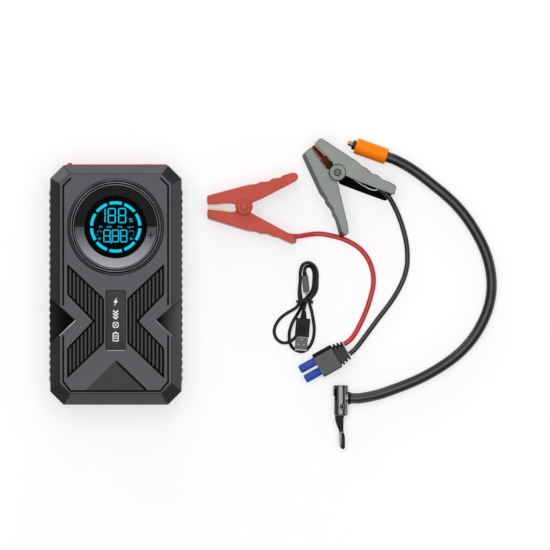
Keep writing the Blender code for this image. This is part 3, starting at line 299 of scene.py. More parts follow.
def loft(name, rings, finish, where=ORIGIN, sharp=SHARP):
    """A closed solid through rings of equal count, each a list of 3-D points."""
    shape = bmesh.new()
    loops = [[shape.verts.new(point) for point in ring] for ring in rings]
    count = len(rings[0])
    for lower, upper in zip(loops, loops[1:]):
        for index in range(count):
            after = (index + 1) % count
            shape.faces.new((lower[index], lower[after], upper[after], upper[index]))
    shape.faces.new(loops[0])
    shape.faces.new(loops[-1])
    return finish_shape(name, shape, finish, where, sharp)


def prism(name, outline, low, high, finish, where=ORIGIN, axis="Z"):
    """An outline (x, y) pushed along Z, or an outline (x, z) pushed along Y."""
    rings = []
    for height in (low, high):
        rings.append([(a, b, height) if axis == "Z" else (a, height, b) for a, b in outline])
    return loft(name, rings, finish, where)


def rectangle(low_x, low_y, high_x, high_y):
    return [(low_x, low_y), (high_x, low_y), (high_x, high_y), (low_x, high_y)]


def rounded(outline, radius, steps=5):
    """The outline with each corner replaced by a short curve."""
    points = []
    count = len(outline)
    for index, corner in enumerate(outline):
        corner = Vector(corner)
        before, after = Vector(outline[index - 1]), Vector(outline[(index + 1) % count])
        start = corner + (before - corner).normalized() * min(radius, (before - corner).length / 2.5)
        end = corner + (after - corner).normalized() * min(radius, (after - corner).length / 2.5)
        for step in range(steps + 1):
            t = step / steps
            points.append(tuple(start * (1 - t) ** 2 + corner * 2 * t * (1 - t) + end * t * t))
    return points


def block(name, span, low, high, finish, corner=0.0, where=ORIGIN, axis="Z", steps=5):
    """A rectangle with its four corners rounded, pushed along an axis."""
    outline = rectangle(*span)
    if corner:
        outline = rounded(outline, corner, steps)
    return prism(name, outline, low, high, finish, where, axis)


def shifted(outline, x, y, scale=1.0):
    return [(x + scale * a, y + scale * b) for a, b in outline]


def arc(centre, radius, start, end, steps):
    """Points along an arc, from a start angle to an end angle in degrees."""
    turns = [math.radians(start + (end - start) * step / steps) for step in range(steps + 1)]
    return [(centre[0] + radius * math.cos(a), centre[1] + radius * math.sin(a)) for a in turns]


def turned(name, profile, finish, where=ORIGIN, axis="Z", steps=64):
    """A closed (radius, height) profile turned about an axis; a radius of 0 closes on the axis."""
    shape = bmesh.new()
    rings = []
    for radius, height in profile:
        turns = [2 * math.pi * step / steps for step in range(steps if radius else 1)]
        rings.append([shape.verts.new((radius * math.cos(a), radius * math.sin(a), height)) for a in turns])
    pairs = list(zip(rings, rings[1:]))
    if len(rings[0]) > 1:
        pairs.append((rings[-1], rings[0]))
    for first, second in pairs:
        for step in range(steps):
            after = (step + 1) % steps
            corners = [first[step % len(first)], first[after % len(first)]]
            corners += [second[after % len(second)], second[step % len(second)]]
            shape.faces.new(list(dict.fromkeys(corners)))
    turns = {"X": Matrix.Rotation(math.pi / 2, 3, "Y"), "Y": Matrix.Rotation(-math.pi / 2, 3, "X")}
    if axis in turns:
        bmesh.ops.rotate(shape, matrix=turns[axis], verts=shape.verts)
    return finish_shape(name, shape, finish, where)


def rod(name, radius, low, high, finish, where=ORIGIN, axis="Z", steps=64):
    return turned(name, [(0, low), (radius, low), (radius, high), (0, high)], finish, where, axis, steps)


def settle(item):
    """Apply the item's modifiers to its mesh."""
    bpy.context.view_layer.update()
    graph = bpy.context.evaluated_depsgraph_get()
    mesh = bpy.data.meshes.new_from_object(item.evaluated_get(graph), depsgraph=graph)
    item.modifiers.clear()
    item.data = mesh
    mesh.name = item.name
    shade(mesh)


def bevel(item, width, segments, angle=50.0, clamp=True):
    modifier = item.modifiers.new("edges", "BEVEL")
    modifier.width = width * MM
    modifier.segments = segments
    modifier.limit_method = "ANGLE"
    modifier.angle_limit = math.radians(angle)
    modifier.use_clamp_overlap = clamp
    settle(item)


def combine(item, tools, operation="DIFFERENCE"):
    """Cut the tools from the item, or join them to it; a cut face keeps the tool's finish."""
    for tool in tools:
        modifier = item.modifiers.new(tool.name, "BOOLEAN")
        modifier.operation = operation
        modifier.solver = "EXACT"
        modifier.material_mode = "TRANSFER"
        modifier.object = tool
    settle(item)
    for tool in tools:
        bpy.data.objects.remove(tool)


def merge(name, items):
    """One object from several that may overlap and need no cutting."""
    shape = bmesh.new()
    finishes = []
    for item in items:
        start = len(shape.faces)
        shape.from_mesh(item.data)
        shape.faces.ensure_lookup_table()
        for face in shape.faces[start:]:
            used = item.data.materials[face.material_index]
            if used not in finishes:
                finishes.append(used)
            face.material_index = finishes.index(used)
        bpy.data.objects.remove(item)
    mesh = bpy.data.meshes.new(name)
    shape.to_mesh(mesh)
    shape.free()
    shade(mesh)
    for used in finishes:
        mesh.materials.append(used)
    return put(name, mesh)


def weigh(item):
    """Shade wide flat faces flat and let only the narrow rounded edges turn."""
    item.modifiers.new("weighted", "WEIGHTED_NORMAL").keep_sharp = True
    return item


def register(item, body, slot, *nodes):
    """The piece rides on a body and stands for CAD nodes, which are hidden; the slot is not used."""
    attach(item, body)
    if nodes:
        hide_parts(*nodes)
    return item


def on_unit(item, slot, *nodes):
    return register(item, "power_unit", slot, *nodes)


def length_of(points):
    return sum((b - a).length for a, b in zip(points, points[1:]))


def smooth_route(route, spacing):
    """Evenly spaced points along a smooth curve through given points."""
    points = [Vector(point) for point in route]
    chain = [2 * points[0] - points[1]] + points + [2 * points[-1] - points[-2]]
    fine = []
    for before, start, end, after in zip(chain, chain[1:], chain[2:], chain[3:]):
        for part in range(12):
            t = part / 12
            fine.append(0.5 * (2 * start + (end - before) * t
                               + (2 * before - 5 * start + 4 * end - after) * t * t
                               + (3 * start - before - 3 * end + after) * t ** 3))
    fine.append(points[-1])
    total = length_of(fine)
    count = round(total / spacing)
    even = [fine[0]]
    travelled = 0.0
    for a, b in zip(fine, fine[1:]):
        step = (b - a).length
        while len(even) < count and travelled + step >= total * len(even) / count:
            even.append(a.lerp(b, (total * len(even) / count - travelled) / step))
        travelled += step
    even.append(fine[-1])
    return even


def wire(name, points, diameter, finish):
    """A round wire or cable along points in millimetres."""
    curve = bpy.data.curves.new(name, "CURVE")
    curve.dimensions = "3D"
    curve.bevel_depth = diameter / 2 * MM
    curve.bevel_resolution = 6
    curve.use_fill_caps = True
    spline = curve.splines.new("POLY")
    spline.points.add(len(points) - 1)
    for knot, point in zip(spline.points, points):
        knot.co = (*(Vector(point) * MM), 1.0)
    curve.materials.append(FINISH[finish])
    return put(name, curve)


# ---- Camera, light and floor ----

def make_camera():
    """A long lens straight above, so that nothing leans, as in the photograph."""
    lens, sensor, view_width, middle_height = 800.0, 36.0, 478.5, 20.0
    data = bpy.data.cameras.new("camera")
    data.lens, data.sensor_width = lens, sensor
    data.clip_start, data.clip_end = 0.1, 40.0
    camera = put("camera", data)
    middle_x, middle_y = 138.3, 8.7
    camera.location = Vector((middle_x, middle_y, view_width * lens / sensor + middle_height)) * MM
    bpy.context.scene.camera = camera


def make_studio():
    """A dim pale world and large soft lamps, in metres, aimed at the middle of the layout."""
    world = bpy.data.worlds.new("studio")
    world.use_nodes = True
    background = world.node_tree.nodes["Background"]
    background.inputs["Color"].default_value = (0.95, 0.97, 1.0, 1.0)
    background.inputs["Strength"].default_value = 0.22
    bpy.context.scene.world = world
    bpy.context.scene.view_settings.view_transform = "Standard"
    middle = Vector((0.14, 0.01, 0.0))
    for name, spot, size, power in (
        ("overhead", (0.10, 0.20, 3.4), (3.6, 3.6), 98.0), ("far_high", (0.15, 1.9, 1.9), (1.6, 0.5), 5.0),
        ("far_side", (0.15, 2.4, 0.55), (1.5, 0.8), 16.0), ("far_left", (-1.6, 1.7, 0.55), (0.8, 0.8), 10.0),
        ("right_side", (2.5, 0.0, 0.55), (1.2, 0.8), 4.5), ("near_side", (0.15, -2.4, 0.55), (1.5, 0.8), 8.0),
    ):
        data = bpy.data.lights.new(name, "AREA")
        data.shape = "RECTANGLE"
        data.size, data.size_y = size
        data.energy = power
        lamp = put(name, data)
        lamp.location = spot
        lamp.visible_camera = False
        lamp.rotation_euler = (middle - Vector(spot)).to_track_quat("-Z", "Y").to_euler()


def make_floor():
    """A wide pale floor, a hair below the object so that the two do not flicker."""
    half_side, drop = 2500.0, 0.02
    shape = bmesh.new()
    bmesh.ops.create_grid(shape, x_segments=8, y_segments=8, size=half_side)
    floor = finish_shape("floor", shape, "floor")
    floor.location.z = -drop * MM


# ---- Cables, hose and charging lead ----

PLUG_PIECES = ["boot", "plug_body"]
CHUCK_PIECES = ["chuck_shell", "mouth_seal", "hose_ferrule", "lever_pin", "thumb_lever"]
LEAD_PIECES = ["usb_a_grip", "usb_a_metal", "usb_c_grip", "tie_band", "tie_twist"]


def make_cords():
    """The four free cords, each along its route at its own spacing of points."""
    for name, route, diameter, spacing, finish, body, slot, far_end, stiffness, lay, pieces in (
        ("red_cable", RED_CABLE_ROUTE, CABLE_DIAMETER, 1.6, "red_rubber", "jumper_lead", "red_cable_rubber",
         "plug", "medium", "loose", PLUG_PIECES),
        ("black_cable", BLACK_CABLE_ROUTE, CABLE_DIAMETER, 1.6, "rubber", "jumper_lead", "black_rubber",
         "plug", "medium", "loose", PLUG_PIECES),
        ("hose", HOSE_ROUTE, HOSE_DIAMETER, 2.2, "hose", "air_hose", "hose_rubber",
         "fitting", "stiff", "loose", CHUCK_PIECES),
        ("usb_cord", CHARGING_LEAD_ROUTE, LEAD_DIAMETER, 0.9, "lead", "charging_lead", "black_rubber",
         "connector", "limp", "coiled", LEAD_PIECES),
    ):
        points = smooth_route(route, spacing)
        item = register(wire(f"{name}_jacket", points, diameter, finish), body, slot, name)
        tuple(Vector(route[0]) * MM)
        length_of(points) * MM
        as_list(pieces)


# ---- Power unit: casing ----

def octagon(half_width, back, front, corner, height):
    """Eight corners of a rectangle with its corners cut at 45 degrees."""
    quarter = [(half_width, front - corner), (half_width - corner, front)]
    other = [(half_width, back + corner), (half_width - corner, back)]
    left = [(-x, y) for x, y in reversed(quarter)] + [(-x, y) for x, y in other]
    return [(x, y, height) for x, y in quarter + left + other[::-1]]


def body_ring(height, inset=0.0):
    corner = CORNER_CUT - 0.6 * inset
    return octagon(HALF_WIDTH - inset, inset - HALF_LENGTH, HALF_LENGTH - inset, corner, height)


def face_ring(height, inset=0.0):
    corner = TOP_CORNER_CUT - 0.6 * inset
    return octagon(TOP_HALF_WIDTH - inset, TOP_BACK + inset, TOP_FRONT - inset, corner, height)


def strip(points, width):
    """The outline of a band of even width along a bent line."""
    points = [Vector(point) for point in points]
    sides = []
    for index, point in enumerate(points):
        before = (point - points[index - 1]).normalized() if index else None
        after = (points[index + 1] - point).normalized() if index < len(points) - 1 else None
        along = ((before or after) + (after or before)).normalized()
        across = along.orthogonal()
        reach = width / 2 / max(0.5, along.dot(after or before))
        sides.append((tuple(point + across * reach), tuple(point - across * reach)))
    return [left for left, _ in sides] + [right for _, right in reversed(sides)]


def inset_outline(outline, distance):
    """The outline moved inward by a distance; its points run anticlockwise."""
    points = []
    for index, corner in enumerate(outline):
        corner = Vector(corner)
        before = (corner - Vector(outline[index - 1])).normalized()
        after = (Vector(outline[(index + 1) % len(outline)]) - corner).normalized()
        normal = Vector((-before.y - after.y, before.x + after.x)).normalized()
        reach = distance / normal.dot(Vector((-before.y, before.x)))
        points.append(tuple(corner + normal * reach))
    return points


def anticlockwise(outline):
    area = sum(a[0] * b[1] - b[0] * a[1] for a, b in zip(outline, outline[1:] + outline[:1]))
    return outline if area > 0 else outline[::-1]


def soft_prism(name, outline, low, high, radius, finish, where=ORIGIN, lean=lambda ring, share: ring):
    """A prism with rounded top and bottom edges; lean moves a ring's points by its share of the height."""
    outline = anticlockwise(outline)
    steps = 4
    turns = [math.pi / 2 * step / steps for step in range(steps + 1)]
    levels = [(radius * (1 - math.sin(a)), low + radius * (1 - math.cos(a))) for a in turns]
    levels += [(inset, low + high - height) for inset, height in reversed(levels)]
    rings = []
    for inset, height in levels:
        ring = inset_outline(lean(outline, (height - low) / (high - low)), inset)
        rings.append([(x, y, height) for x, y in ring])
    return loft(name, rings, finish, where)


CHEVRON = [(42.2, 18.7), (10.0, -11.7), (10.0, -50.5), (42.2, -81.3), (42.2, -54.8), (20.0, -31.3),
           (42.2, -8.3)]
GROOVE_WIDTH, GROOVE_BED = 1.6, UNIT_HEIGHT - 1.2
ABOVE = UNIT_HEIGHT + 3


def chevron(side):
    """The field right of the middle, or its mirror left of it, both anticlockwise."""
    return CHEVRON if side > 0 else [(-x, y) for x, y in reversed(CHEVRON)]


def scoop(name, side, grow, finish):
    """The V-shaped hollow in one side, whose floor falls away outward; grow leaves a wall under it."""
    foot = 35.5 - grow
    floor = [(34.2 - grow, -31.0, 46.0 - grow), (60.0, -8.6 + grow, foot), (60.0, -54.2 - grow, foot)]
    floor = [(side * x, y, z) for x, y, z in floor]
    return loft(name, [floor, [(x, y, 66.0) for x, y, _ in floor]], finish)


# Grooves cut into the face, coloured near black inside: painted shade.
def make_grooves():
    lines = [[(side * 38.7, 93.1), (side * 45.5, 86.1), (side * 45.5, -17.6)] for side in (-1, 1)]
    lines.append([(-45.5, -43.6), (-45.5, -84.0), (-39.0, -92.0), (39.0, -92.0), (45.5, -84.0),
                  (45.5, -43.6)])
    return [prism(f"groove_{index}", strip(line, GROOVE_WIDTH), GROOVE_BED, ABOVE, "groove")
            for index, line in enumerate(lines)]


def make_facet():
    """The sunk triangle at the foot of the face, deepest along its right edge, where a groove runs whose
    near-black inside is painted shadow.
    """
    corners = ((-1.0, -66.5, 0.35), (-26.0, -91.2, 0.15), (26.5, -91.2, 0.9))
    rings = [[(x, y, UNIT_HEIGHT - depth) for x, y, depth in corners], [(x, y, ABOVE) for x, y, _ in corners]]
    edge = strip([(0.2, -66.0), (26.6, -91.3)], 1.9)
    return [loft("facet", rings, "facet"), prism("facet_groove", edge, GROOVE_BED, ABOVE + 0.1, "groove")]


def case_openings():
    """What both halves of the case leave open: the port end's window, and the side grips' seats."""
    tools = [block("window", (-43.8, 98.0, 44.7, 112.0), 6.0, 38.8, "case_low")]
    for side, word in SIDES:
        near, far = sorted((side * 55.7, side * 62.0))
        tools.append(block(f"grip_seat_{word}", (near, -88.3, far, 84.3), 10.7, 35.3, "case_low"))
    return tools


def make_top_cover():
    low = PARTING_HEIGHT + GAP
    cover = loft("top_cover", [body_ring(low), body_ring(RIM_HEIGHT), face_ring(UNIT_HEIGHT)], "case")
    bevel(cover, 0.8, 4, 20.0)
    hollow = loft("hollow", [body_ring(low - 3, WALL), body_ring(RIM_HEIGHT - 0.8, WALL),
                             face_ring(UNIT_HEIGHT - WALL, WALL)], "case_low")
    combine(hollow, [scoop(f"scoop_wall_{word}", side, WALL, "case_low") for side, word in SIDES])
    combine(cover, [hollow])
    # The ribbed fields' floors, the dial and label seats, the grooves and the facet's groove are cut with the
    # near-black finish: painted shade in recesses.
    tools = [prism(f"field_{word}", rounded(chevron(side), 1.6), UNIT_HEIGHT - 0.8, ABOVE, "groove")
             for side, word in SIDES]
    tools.append(rod("dial_seat", BEZEL_RADIUS + GAP, 30, 60, "groove", DIAL, steps=FINE_STEPS))
    tools.append(block("label_seat", (-8.7, -57.4, 8.7, -4.4), UNIT_HEIGHT - 0.9, ABOVE, "groove", 1.2))
    tools += case_openings() + make_grooves() + make_facet()
    # The scoops are cut with their painted-shade finishes.
    tools += [scoop("scoop_left", -1, 0.0, "scoop_painted_shade_left"), scoop("scoop_right", 1, 0.0, "scoop")]
    combine(cover, tools)
    on_unit(weigh(cover), "shell_plastic", "top_shell")


def make_scoop_lips():
    """Painted highlights for light caught by the bevels: a strip along each scoop's lower edge, tapering
    outward and brightest on the left, a fine one along its upper edge, and a faint band on the slope below.
    """
    lower = [(33.3, -31.0), (34.6, -30.2), (35.6, -30.9), (48.6, -43.3), (48.5, -44.2), (34.4, -32.1)]
    upper = [(34.6, -30.1), (34.2, -30.5), (48.2, -18.2), (48.4, -18.5)]
    slope = [(48.5, -43.8, 45.9), (56.4, -51.2, 39.3), (56.9, -51.5, 38.7), (48.5, -44.3, 45.5)]
    lips = {"lip": [], "lip_faint_highlight": []}
    for side, low_finish, top in ((-1, "lip", 46.0), (1, "lip_faint_highlight", 45.975)):
        for finish, outline in ((low_finish, lower), ("lip_faint_highlight", upper)):
            lips[finish].append(prism("lip", [(side * x, y) for x, y in outline], 45.2, top, finish))
        ring = [(side * x, y, z) for x, y, z in slope]
        lips["lip_faint_highlight"].append(loft("lip", [ring, [(x, y + 0.5, z + 0.35) for x, y, z in ring]], "lip_faint_highlight"))
    for finish, pieces in lips.items():
        on_unit(merge(f"scoop_{finish}", pieces), "shell_plastic")


def make_ribs():
    """Upright ribs that fill each arrow-shaped field, a narrow gap inside its border."""
    first, pitch, half_width, count = 12.75, 3.34, 0.95, 9
    low, high = UNIT_HEIGHT - 1.0, UNIT_HEIGHT - 0.05
    for side, word in SIDES:
        bars = []
        for index in range(count):
            x = side * (first + pitch * index)
            bars.append(block("bar", (x - half_width, -90, x + half_width, 25), low, high, "rib"))
        ribs = merge(f"ribs_{word}", bars)
        field = prism("field", rounded(inset_outline(chevron(side), 1.7), 1.0), 40, 50, "rib")
        combine(ribs, [field], "INTERSECT")
        bevel(ribs, 0.3, 2, 60.0, clamp=False)
        on_unit(weigh(ribs), "shell_plastic")


def make_lower_case():
    """The lower half, with softened edges, screw holes and vents underneath."""
    top = PARTING_HEIGHT - GAP
    shell = loft("lower_case", [body_ring(0.0, 1.5), body_ring(1.5), body_ring(top)], "case_low")
    bevel(shell, 0.6, 3, 20.0)
    tools = [loft("hollow", [body_ring(3.0, WALL), body_ring(PARTING_HEIGHT + 5, WALL)], "case_low")]
    tools += case_openings()
    # The screw holes and vents are cut with the near-black finish: painted shade inside them.
    screw_hole = [(0, -1), (3.3, -1), (3.3, 1.9), (1.7, 1.9), (1.7, 6), (0, 6)]
    for x, y in ((46, 88), (-46, 88), (-46, -88), (46, -88)):
        tools.append(turned("screw_hole", screw_hole, "groove", place(x, y), steps=32))
    for index in range(9):
        y = -60.0 + 6.0 * index
        tools.append(block("vent", (-24, y, 24, y + 2.2), -1.0, 0.8, "groove", 1.0))
    combine(shell, tools)
    on_unit(weigh(shell), "dark_plastic", "bottom_shell")


def make_side_grips():
    """Rubber strips along both sides, with a row of rounded bumps that fade in at their top and bottom."""
    bumps, pitch, start, steps = 25, 6.7, -84.5, 10
    back, base, face, swell = 56.0, 57.0, 57.05, 0.85
    edge = [(face, start - 2.0)]
    for step in range(bumps * steps + 1):
        wave = abs(math.sin(math.pi * step / steps)) ** 0.8
        edge.append((face + swell * wave, start + pitch * step / steps))
    for side, word in SIDES:
        rings = []
        for height, share in ((11.0, 0.0), (12.2, 0.75), (13.6, 1.0), (32.4, 1.0), (33.8, 0.75), (35.0, 0.0)):
            ring = [(side * back, start - 2.0, height)]
            ring += [(side * (base + (x - base) * share), y, height) for x, y in edge]
            rings.append(ring + [(side * back, start + bumps * pitch, height)])
        on_unit(loft(f"grip_strip_{word}", rings, "grip"), "black_rubber", f"side_grip_{word}")


# ---- Power unit: dial, display and label ----

def dial_ring(name, profile, finish):
    return turned(name, profile, finish, DIAL, steps=FINE_STEPS)


def dial_sector(name, foot, side, top, chamfer, start, end, finish):
    """A ring's sector round the display, chamfered on top, from one angle to another, with closed ends."""
    inner, outer, steps = LENS_RADIUS + 0.3, KEY_RADIUS, 72
    profile = [(inner, foot), (outer, foot), (outer, side), (outer - chamfer, top), (inner + chamfer, top),
               (inner, side)]
    rings = []
    for step in range(steps + 1):
        turn = math.radians(start + (end - start) * step / steps)
        rings.append([(r * math.cos(turn), r * math.sin(turn), z) for r, z in profile])
    return loft(name, rings, finish, DIAL)


def make_dial():
    flange = [(40.1, 40.4), (43.8, 40.4), (43.8, 43.0), (BEZEL_RADIUS, 43.0), (BEZEL_RADIUS, 46.2),
              (41.9, 46.5), (41.0, 47.6), (40.7, 47.8), (40.4, 47.75), (40.1, 47.4)]
    on_unit(dial_ring("bezel_ring", flange, "case"), "dark_plastic", "dial_bezel")
    band = [(36.1, 42.1), (TRIM_RADIUS, 42.1), (TRIM_RADIUS, 47.7), (38.9, 48.3), (36.4, 48.1), (36.1, 47.8)]
    pieces = [dial_ring("trim_body", band, "gloss")]
    for centre in ((36.6, 48.3), (38.7, 48.6)):
        pieces.append(dial_ring("bead", shifted(arc((0, 0), 0.42, 0, 330, 11), *centre), "trim"))
    on_unit(merge("trim_ring", pieces), "trim_chrome", "dial_trim_ring")
    gloss = dial_sector("gloss_arc", 41.8, 46.9, 47.2, 0.3, 0.6, 179.4, "gloss")
    on_unit(gloss, "gloss_black", "dial_gloss_arc")
    key = dial_sector("rocker_key", 43.2, 47.0, 47.3, 0.35, 181.0, 359.0, "key")
    register(key, "dial_key", "key_grey", "dial_key")
    marks = [block("mark", span, 47.2, top, finish, 0.2, DIAL) for span, top, finish in (
        ((-33.0, -7.5, -29.4, -6.9), 47.45, "key"), ((27.7, -7.7, 33.3, -6.9), 47.5, "groove"),
        ((30.1, -10.1, 30.9, -4.5), 47.52, "groove"))]
    register(merge("key_marks", marks), "dial_key", "gloss_black")
    glass = [(0, 45.9), (LENS_RADIUS, 45.9), (LENS_RADIUS, 46.7), (26.8, 47.0), (26.4, 47.15), (0, LENS_TOP)]
    on_unit(dial_ring("display_glass", glass, "glass"), "gloss_black", "display_lens")


SEGMENTS = {"a": (-1, 1, 1, 1), "b": (1, 0, 1, 1), "c": (1, -1, 1, 0), "d": (-1, -1, 1, -1),
            "e": (-1, -1, -1, 0), "f": (-1, 0, -1, 1), "g": (-1, 0, 1, 0)}


def seven_segments(x, y, width, height, stroke, lit):
    """Outlines of a digit's lit bars, named a to g, about its middle."""
    half_w, half_h = width / 2 - stroke / 2, height / 2 - stroke / 2
    outlines = []
    for bar in lit:
        x0, y0, x1, y1 = SEGMENTS[bar]
        start = Vector((x0 * half_w, y0 * half_h)) + Vector((x, y))
        end = Vector((x1 * half_w, y1 * half_h)) + Vector((x, y))
        along = (end - start).normalized()
        across = along.orthogonal() * stroke / 2
        start, end = start + along * stroke * 0.12, end - along * stroke * 0.12
        shoulder = along * stroke / 2
        outlines.append([tuple(p) for p in (start, start + shoulder - across, end - shoulder - across, end,
                                            end - shoulder + across, start + shoulder + across)])
    return outlines


def lettering(name, words, size, where):
    """Small generic marks, such as units on a scale, as flat geometry centred on a point."""
    data = bpy.data.curves.new(name, "FONT")
    data.body = words
    data.size = size * MM
    data.align_x, data.align_y = "CENTER", "CENTER"
    data.extrude = 0.02 * MM
    data.resolution_u = 3
    text = put(name, data)
    mesh = bpy.data.meshes.new_from_object(text)
    bpy.data.objects.remove(text)
    mesh.transform(Matrix.Scale(MM, 4) @ where @ Matrix.Scale(1 / MM, 4))
    mesh.materials.clear()
    mesh.materials.append(FINISH["glow"])
    return put(name, mesh)


def unit_marks(name, outlines, finish, where):
    """Thin flat marks on the power unit."""
    thickness = 0.05
    marks = [prism("mark", outline, 0.0, thickness, finish, where) for outline in outlines]
    on_unit(merge(name, marks), "gloss_black")


def make_display():
    """The lit ring of arcs, the digits, their units and small symbols under the glass."""
    face = DIAL @ place(0, 0, LENS_TOP - 0.03)
    arcs = []
    for index in range(10):
        start, end = 36.0 * index + 3.4, 36.0 * (index + 1) - 3.4
        arcs.append(arc((0, 0), 22.2, start, end, 14) + arc((0, 0), 19.7, end, start, 14))
    unit_marks("display_arcs", arcs, "glow", face)
    bars = []
    for x, lit in ((-12.2, "bc"), (-3.4, "abcdefg"), (5.6, "abcdefg")):
        bars += seven_segments(x, 9.9, 7.0, 13.1, 0.95, lit)
    for x in (-7.5, -0.2, 7.0):
        bars += seven_segments(x, -7.8, 6.2, 11.0, 0.8, "abcdefg")
    bars.append(arc((-3.85, -13.4), 0.75, 0, 330, 11))
    unit_marks("display_digits", bars, "glow", face)
    units = [lettering("unit", word, size, face @ place(x, y, 0.03)) for word, size, x, y in (
        ("%", 5.2, 13.2, 5.6), ("PSI", 2.3, -13.1, 0.0), ("BAR", 2.3, -5.5, 0.0), ("KPA", 2.3, 3.9, 0.0),
        ("kg/cm²", 2.1, 13.1, 0.0))]
    on_unit(merge("display_units", units), "gloss_black")
    symbols = []
    for x, foot, dot in ((-14.0, (1.5, 60, 390, 3), -1.9), (13.6, (1.2, 0, 345, 23), 1.9)):
        y = -5.6
        symbols.append(arc((x, y), 2.6, 25, 155, 10) + arc((x, y), 2.0, 155, 25, 10))
        symbols += [arc((x, y - 4.6), *foot), arc((x + dot, y - 1.3), 0.5, 0, 330, 11)]
    unit_marks("display_symbols", symbols, "glow_dim", face)


BOLT = [(1.6, 4.2), (-2.0, -0.6), (-0.2, -0.6), (-1.6, -4.2), (2.0, 0.8), (0.2, 0.8)]


def make_label():
    """The plate down the middle of the face: a bolt, chevrons, a wheel and a battery stand for its words."""
    top = UNIT_HEIGHT - 0.1
    plate = block("label_face", (-8.3, -57.0, 8.3, -4.8), top - 0.5, top, "facet", 1.0)
    bevel(plate, 0.2, 2)
    # A bright metal strip along the plate's lower edge: a painted highlight.
    foot = block("label_foot", (-8.2, -57.9, 8.2, -56.6), top - 0.3, top + 0.1, "trim", 0.4)
    on_unit(merge("label_panel", [plate, foot]), "gloss_black", "label_plate")
    wheel, can = (0, -34.6), shifted(rectangle(-2.2, -3.6, 2.2, 3.2), 0, -45.0)
    shapes = [shifted(BOLT, 0, -14.5)]
    shapes += [strip([(-2.2, y), (0.0, y - 2.1), (2.2, y)], 1.1) for y in (-22.0, -24.6, -27.2)]
    shapes += [arc(wheel, 2.9, start, start + 70, 8) + arc(wheel, 1.9, start + 70, start, 8)
               for start in (10, 100, 190, 280)]
    shapes.append(arc(wheel, 0.8, 0, 330, 11))
    shapes += [strip(side, 0.8) for side in zip(can, can[1:] + can[:1])]
    shapes += [rectangle(-0.9, -41.4, 0.9, -40.6), rectangle(-1.2, -44.6, 1.2, -43.8),
               rectangle(-1.2, -46.6, 1.2, -45.8)]
    unit_marks("label_symbols", shapes, "print", place(0, 0, top - 0.02))


# ---- Power unit: port end ----
# Its outlines are (x, z), and its heights run along Y.

BUTTON, TORCH, USB_A_PORT, USB_C_PORT = (-40.0, 23.0), (-27.0, 23.0), (-8.5, 33.0), (8.5, 33.0)
OUTLET, SOCKET = (3.5, 19.0), (28.0, 24.0)
BEHIND, BEYOND = 90.0, 112.0
SMALL_BOLT = [(0.7, 1.7), (-0.9, -0.2), (-0.1, -0.2), (-0.7, -1.7), (0.9, 0.3), (0.1, 0.3)]


def port_block(name, span, low, high, finish, corner=0.0):
    return block(name, span, low, high, finish, corner, axis="Y")


def port_hole(name, centre, half_width, half_height, corner=0.6, low=BEHIND):
    x, z = centre
    span = (x - half_width, z - half_height, x + half_width, z + half_height)
    return port_block(name, span, low, BEYOND, "groove", corner)


def port_place(centre):
    return place(centre[0], 0, centre[1])


def make_port_panel():
    """The red end panel with its openings, a seat for the flap and three small symbols."""
    panel = port_block("port_face", (-43.5, 6.3, 44.4, 38.5), 101.9, PANEL_FACE, "red", 1.0)
    bevel(panel, 0.35, 2)
    # The openings are cut with the near-black finish: painted shade inside them.
    tools = [port_hole("button_hole", BUTTON, 2.0, 5.3, 0.8),
             rod("torch_hole", 9.9, BEHIND, BEYOND, "groove", port_place(TORCH), "Y"),
             port_hole("usb_a_hole", USB_A_PORT, 7.6, 3.9),
             port_hole("usb_c_hole", USB_C_PORT, 5.1, 2.2, 2.0),
             rod("outlet_hole", 5.0, BEHIND, BEYOND, "groove", port_place(OUTLET), "Y"),
             port_hole("socket_hole", SOCKET, 13.0, 8.0, 1.0),
             port_hole("flap_seat", (28.0, 23.85), 14.3, 13.15, 1.0, PANEL_FACE - 1.7)]
    for outline in (shifted(arc((0, 0), 1.7, 0, 345, 23), 3.5, 9.0), shifted(SMALL_BOLT, -8.5, 26.6),
                    shifted(SMALL_BOLT, 8.5, 28.2)):
        tools.append(prism("symbol", outline, PANEL_FACE - 0.15, PANEL_FACE + 1, "print", axis="Y"))
    combine(panel, tools)
    on_unit(weigh(panel), "red_plastic", "port_panel")


def make_port_flap():
    """The rubber cover over the jumper socket, with a raised rim, a bolt and a finger tab at its foot."""
    foot = PANEL_FACE - 0.4
    flap = port_block("flap", (14.0, 11.0, 42.0, 36.5), 103.5, PANEL_FACE - 0.35, "grip", 1.2)
    rim = port_block("flap_rim", (14.8, 11.8, 41.2, 34.0), foot, PANEL_FACE, "grip", 1.6)
    combine(rim, [port_block("rim_room", (16.2, 13.2, 39.8, 32.6), 100, 110, "grip", 1.4)])
    tab = port_block("flap_tab", (24.0, 11.2, 32.0, 12.6), foot, PANEL_FACE + 0.3, "grip", 0.6)
    bolt = prism("flap_bolt", shifted(BOLT, 28, 23.5, 1.5), foot, PANEL_FACE - 0.05, "grip", axis="Y")
    register(merge("socket_cover", [flap, rim, tab, bolt]), "port_flap", "black_rubber", "port_flap")


def make_button():
    body = port_block("button_body", (-43.2, 18.0, -36.8, 28.0), 99.0, 101.2, "case_low", 0.4)
    cap = port_block("button_cap", (-41.7, 18.0, -38.3, 28.0), 101.0, BUTTON_FACE, "case_low", 1.4)
    bevel(cap, 0.4, 3)
    register(merge("button", [body, cap]), "power_button", "dark_plastic", "power_button")


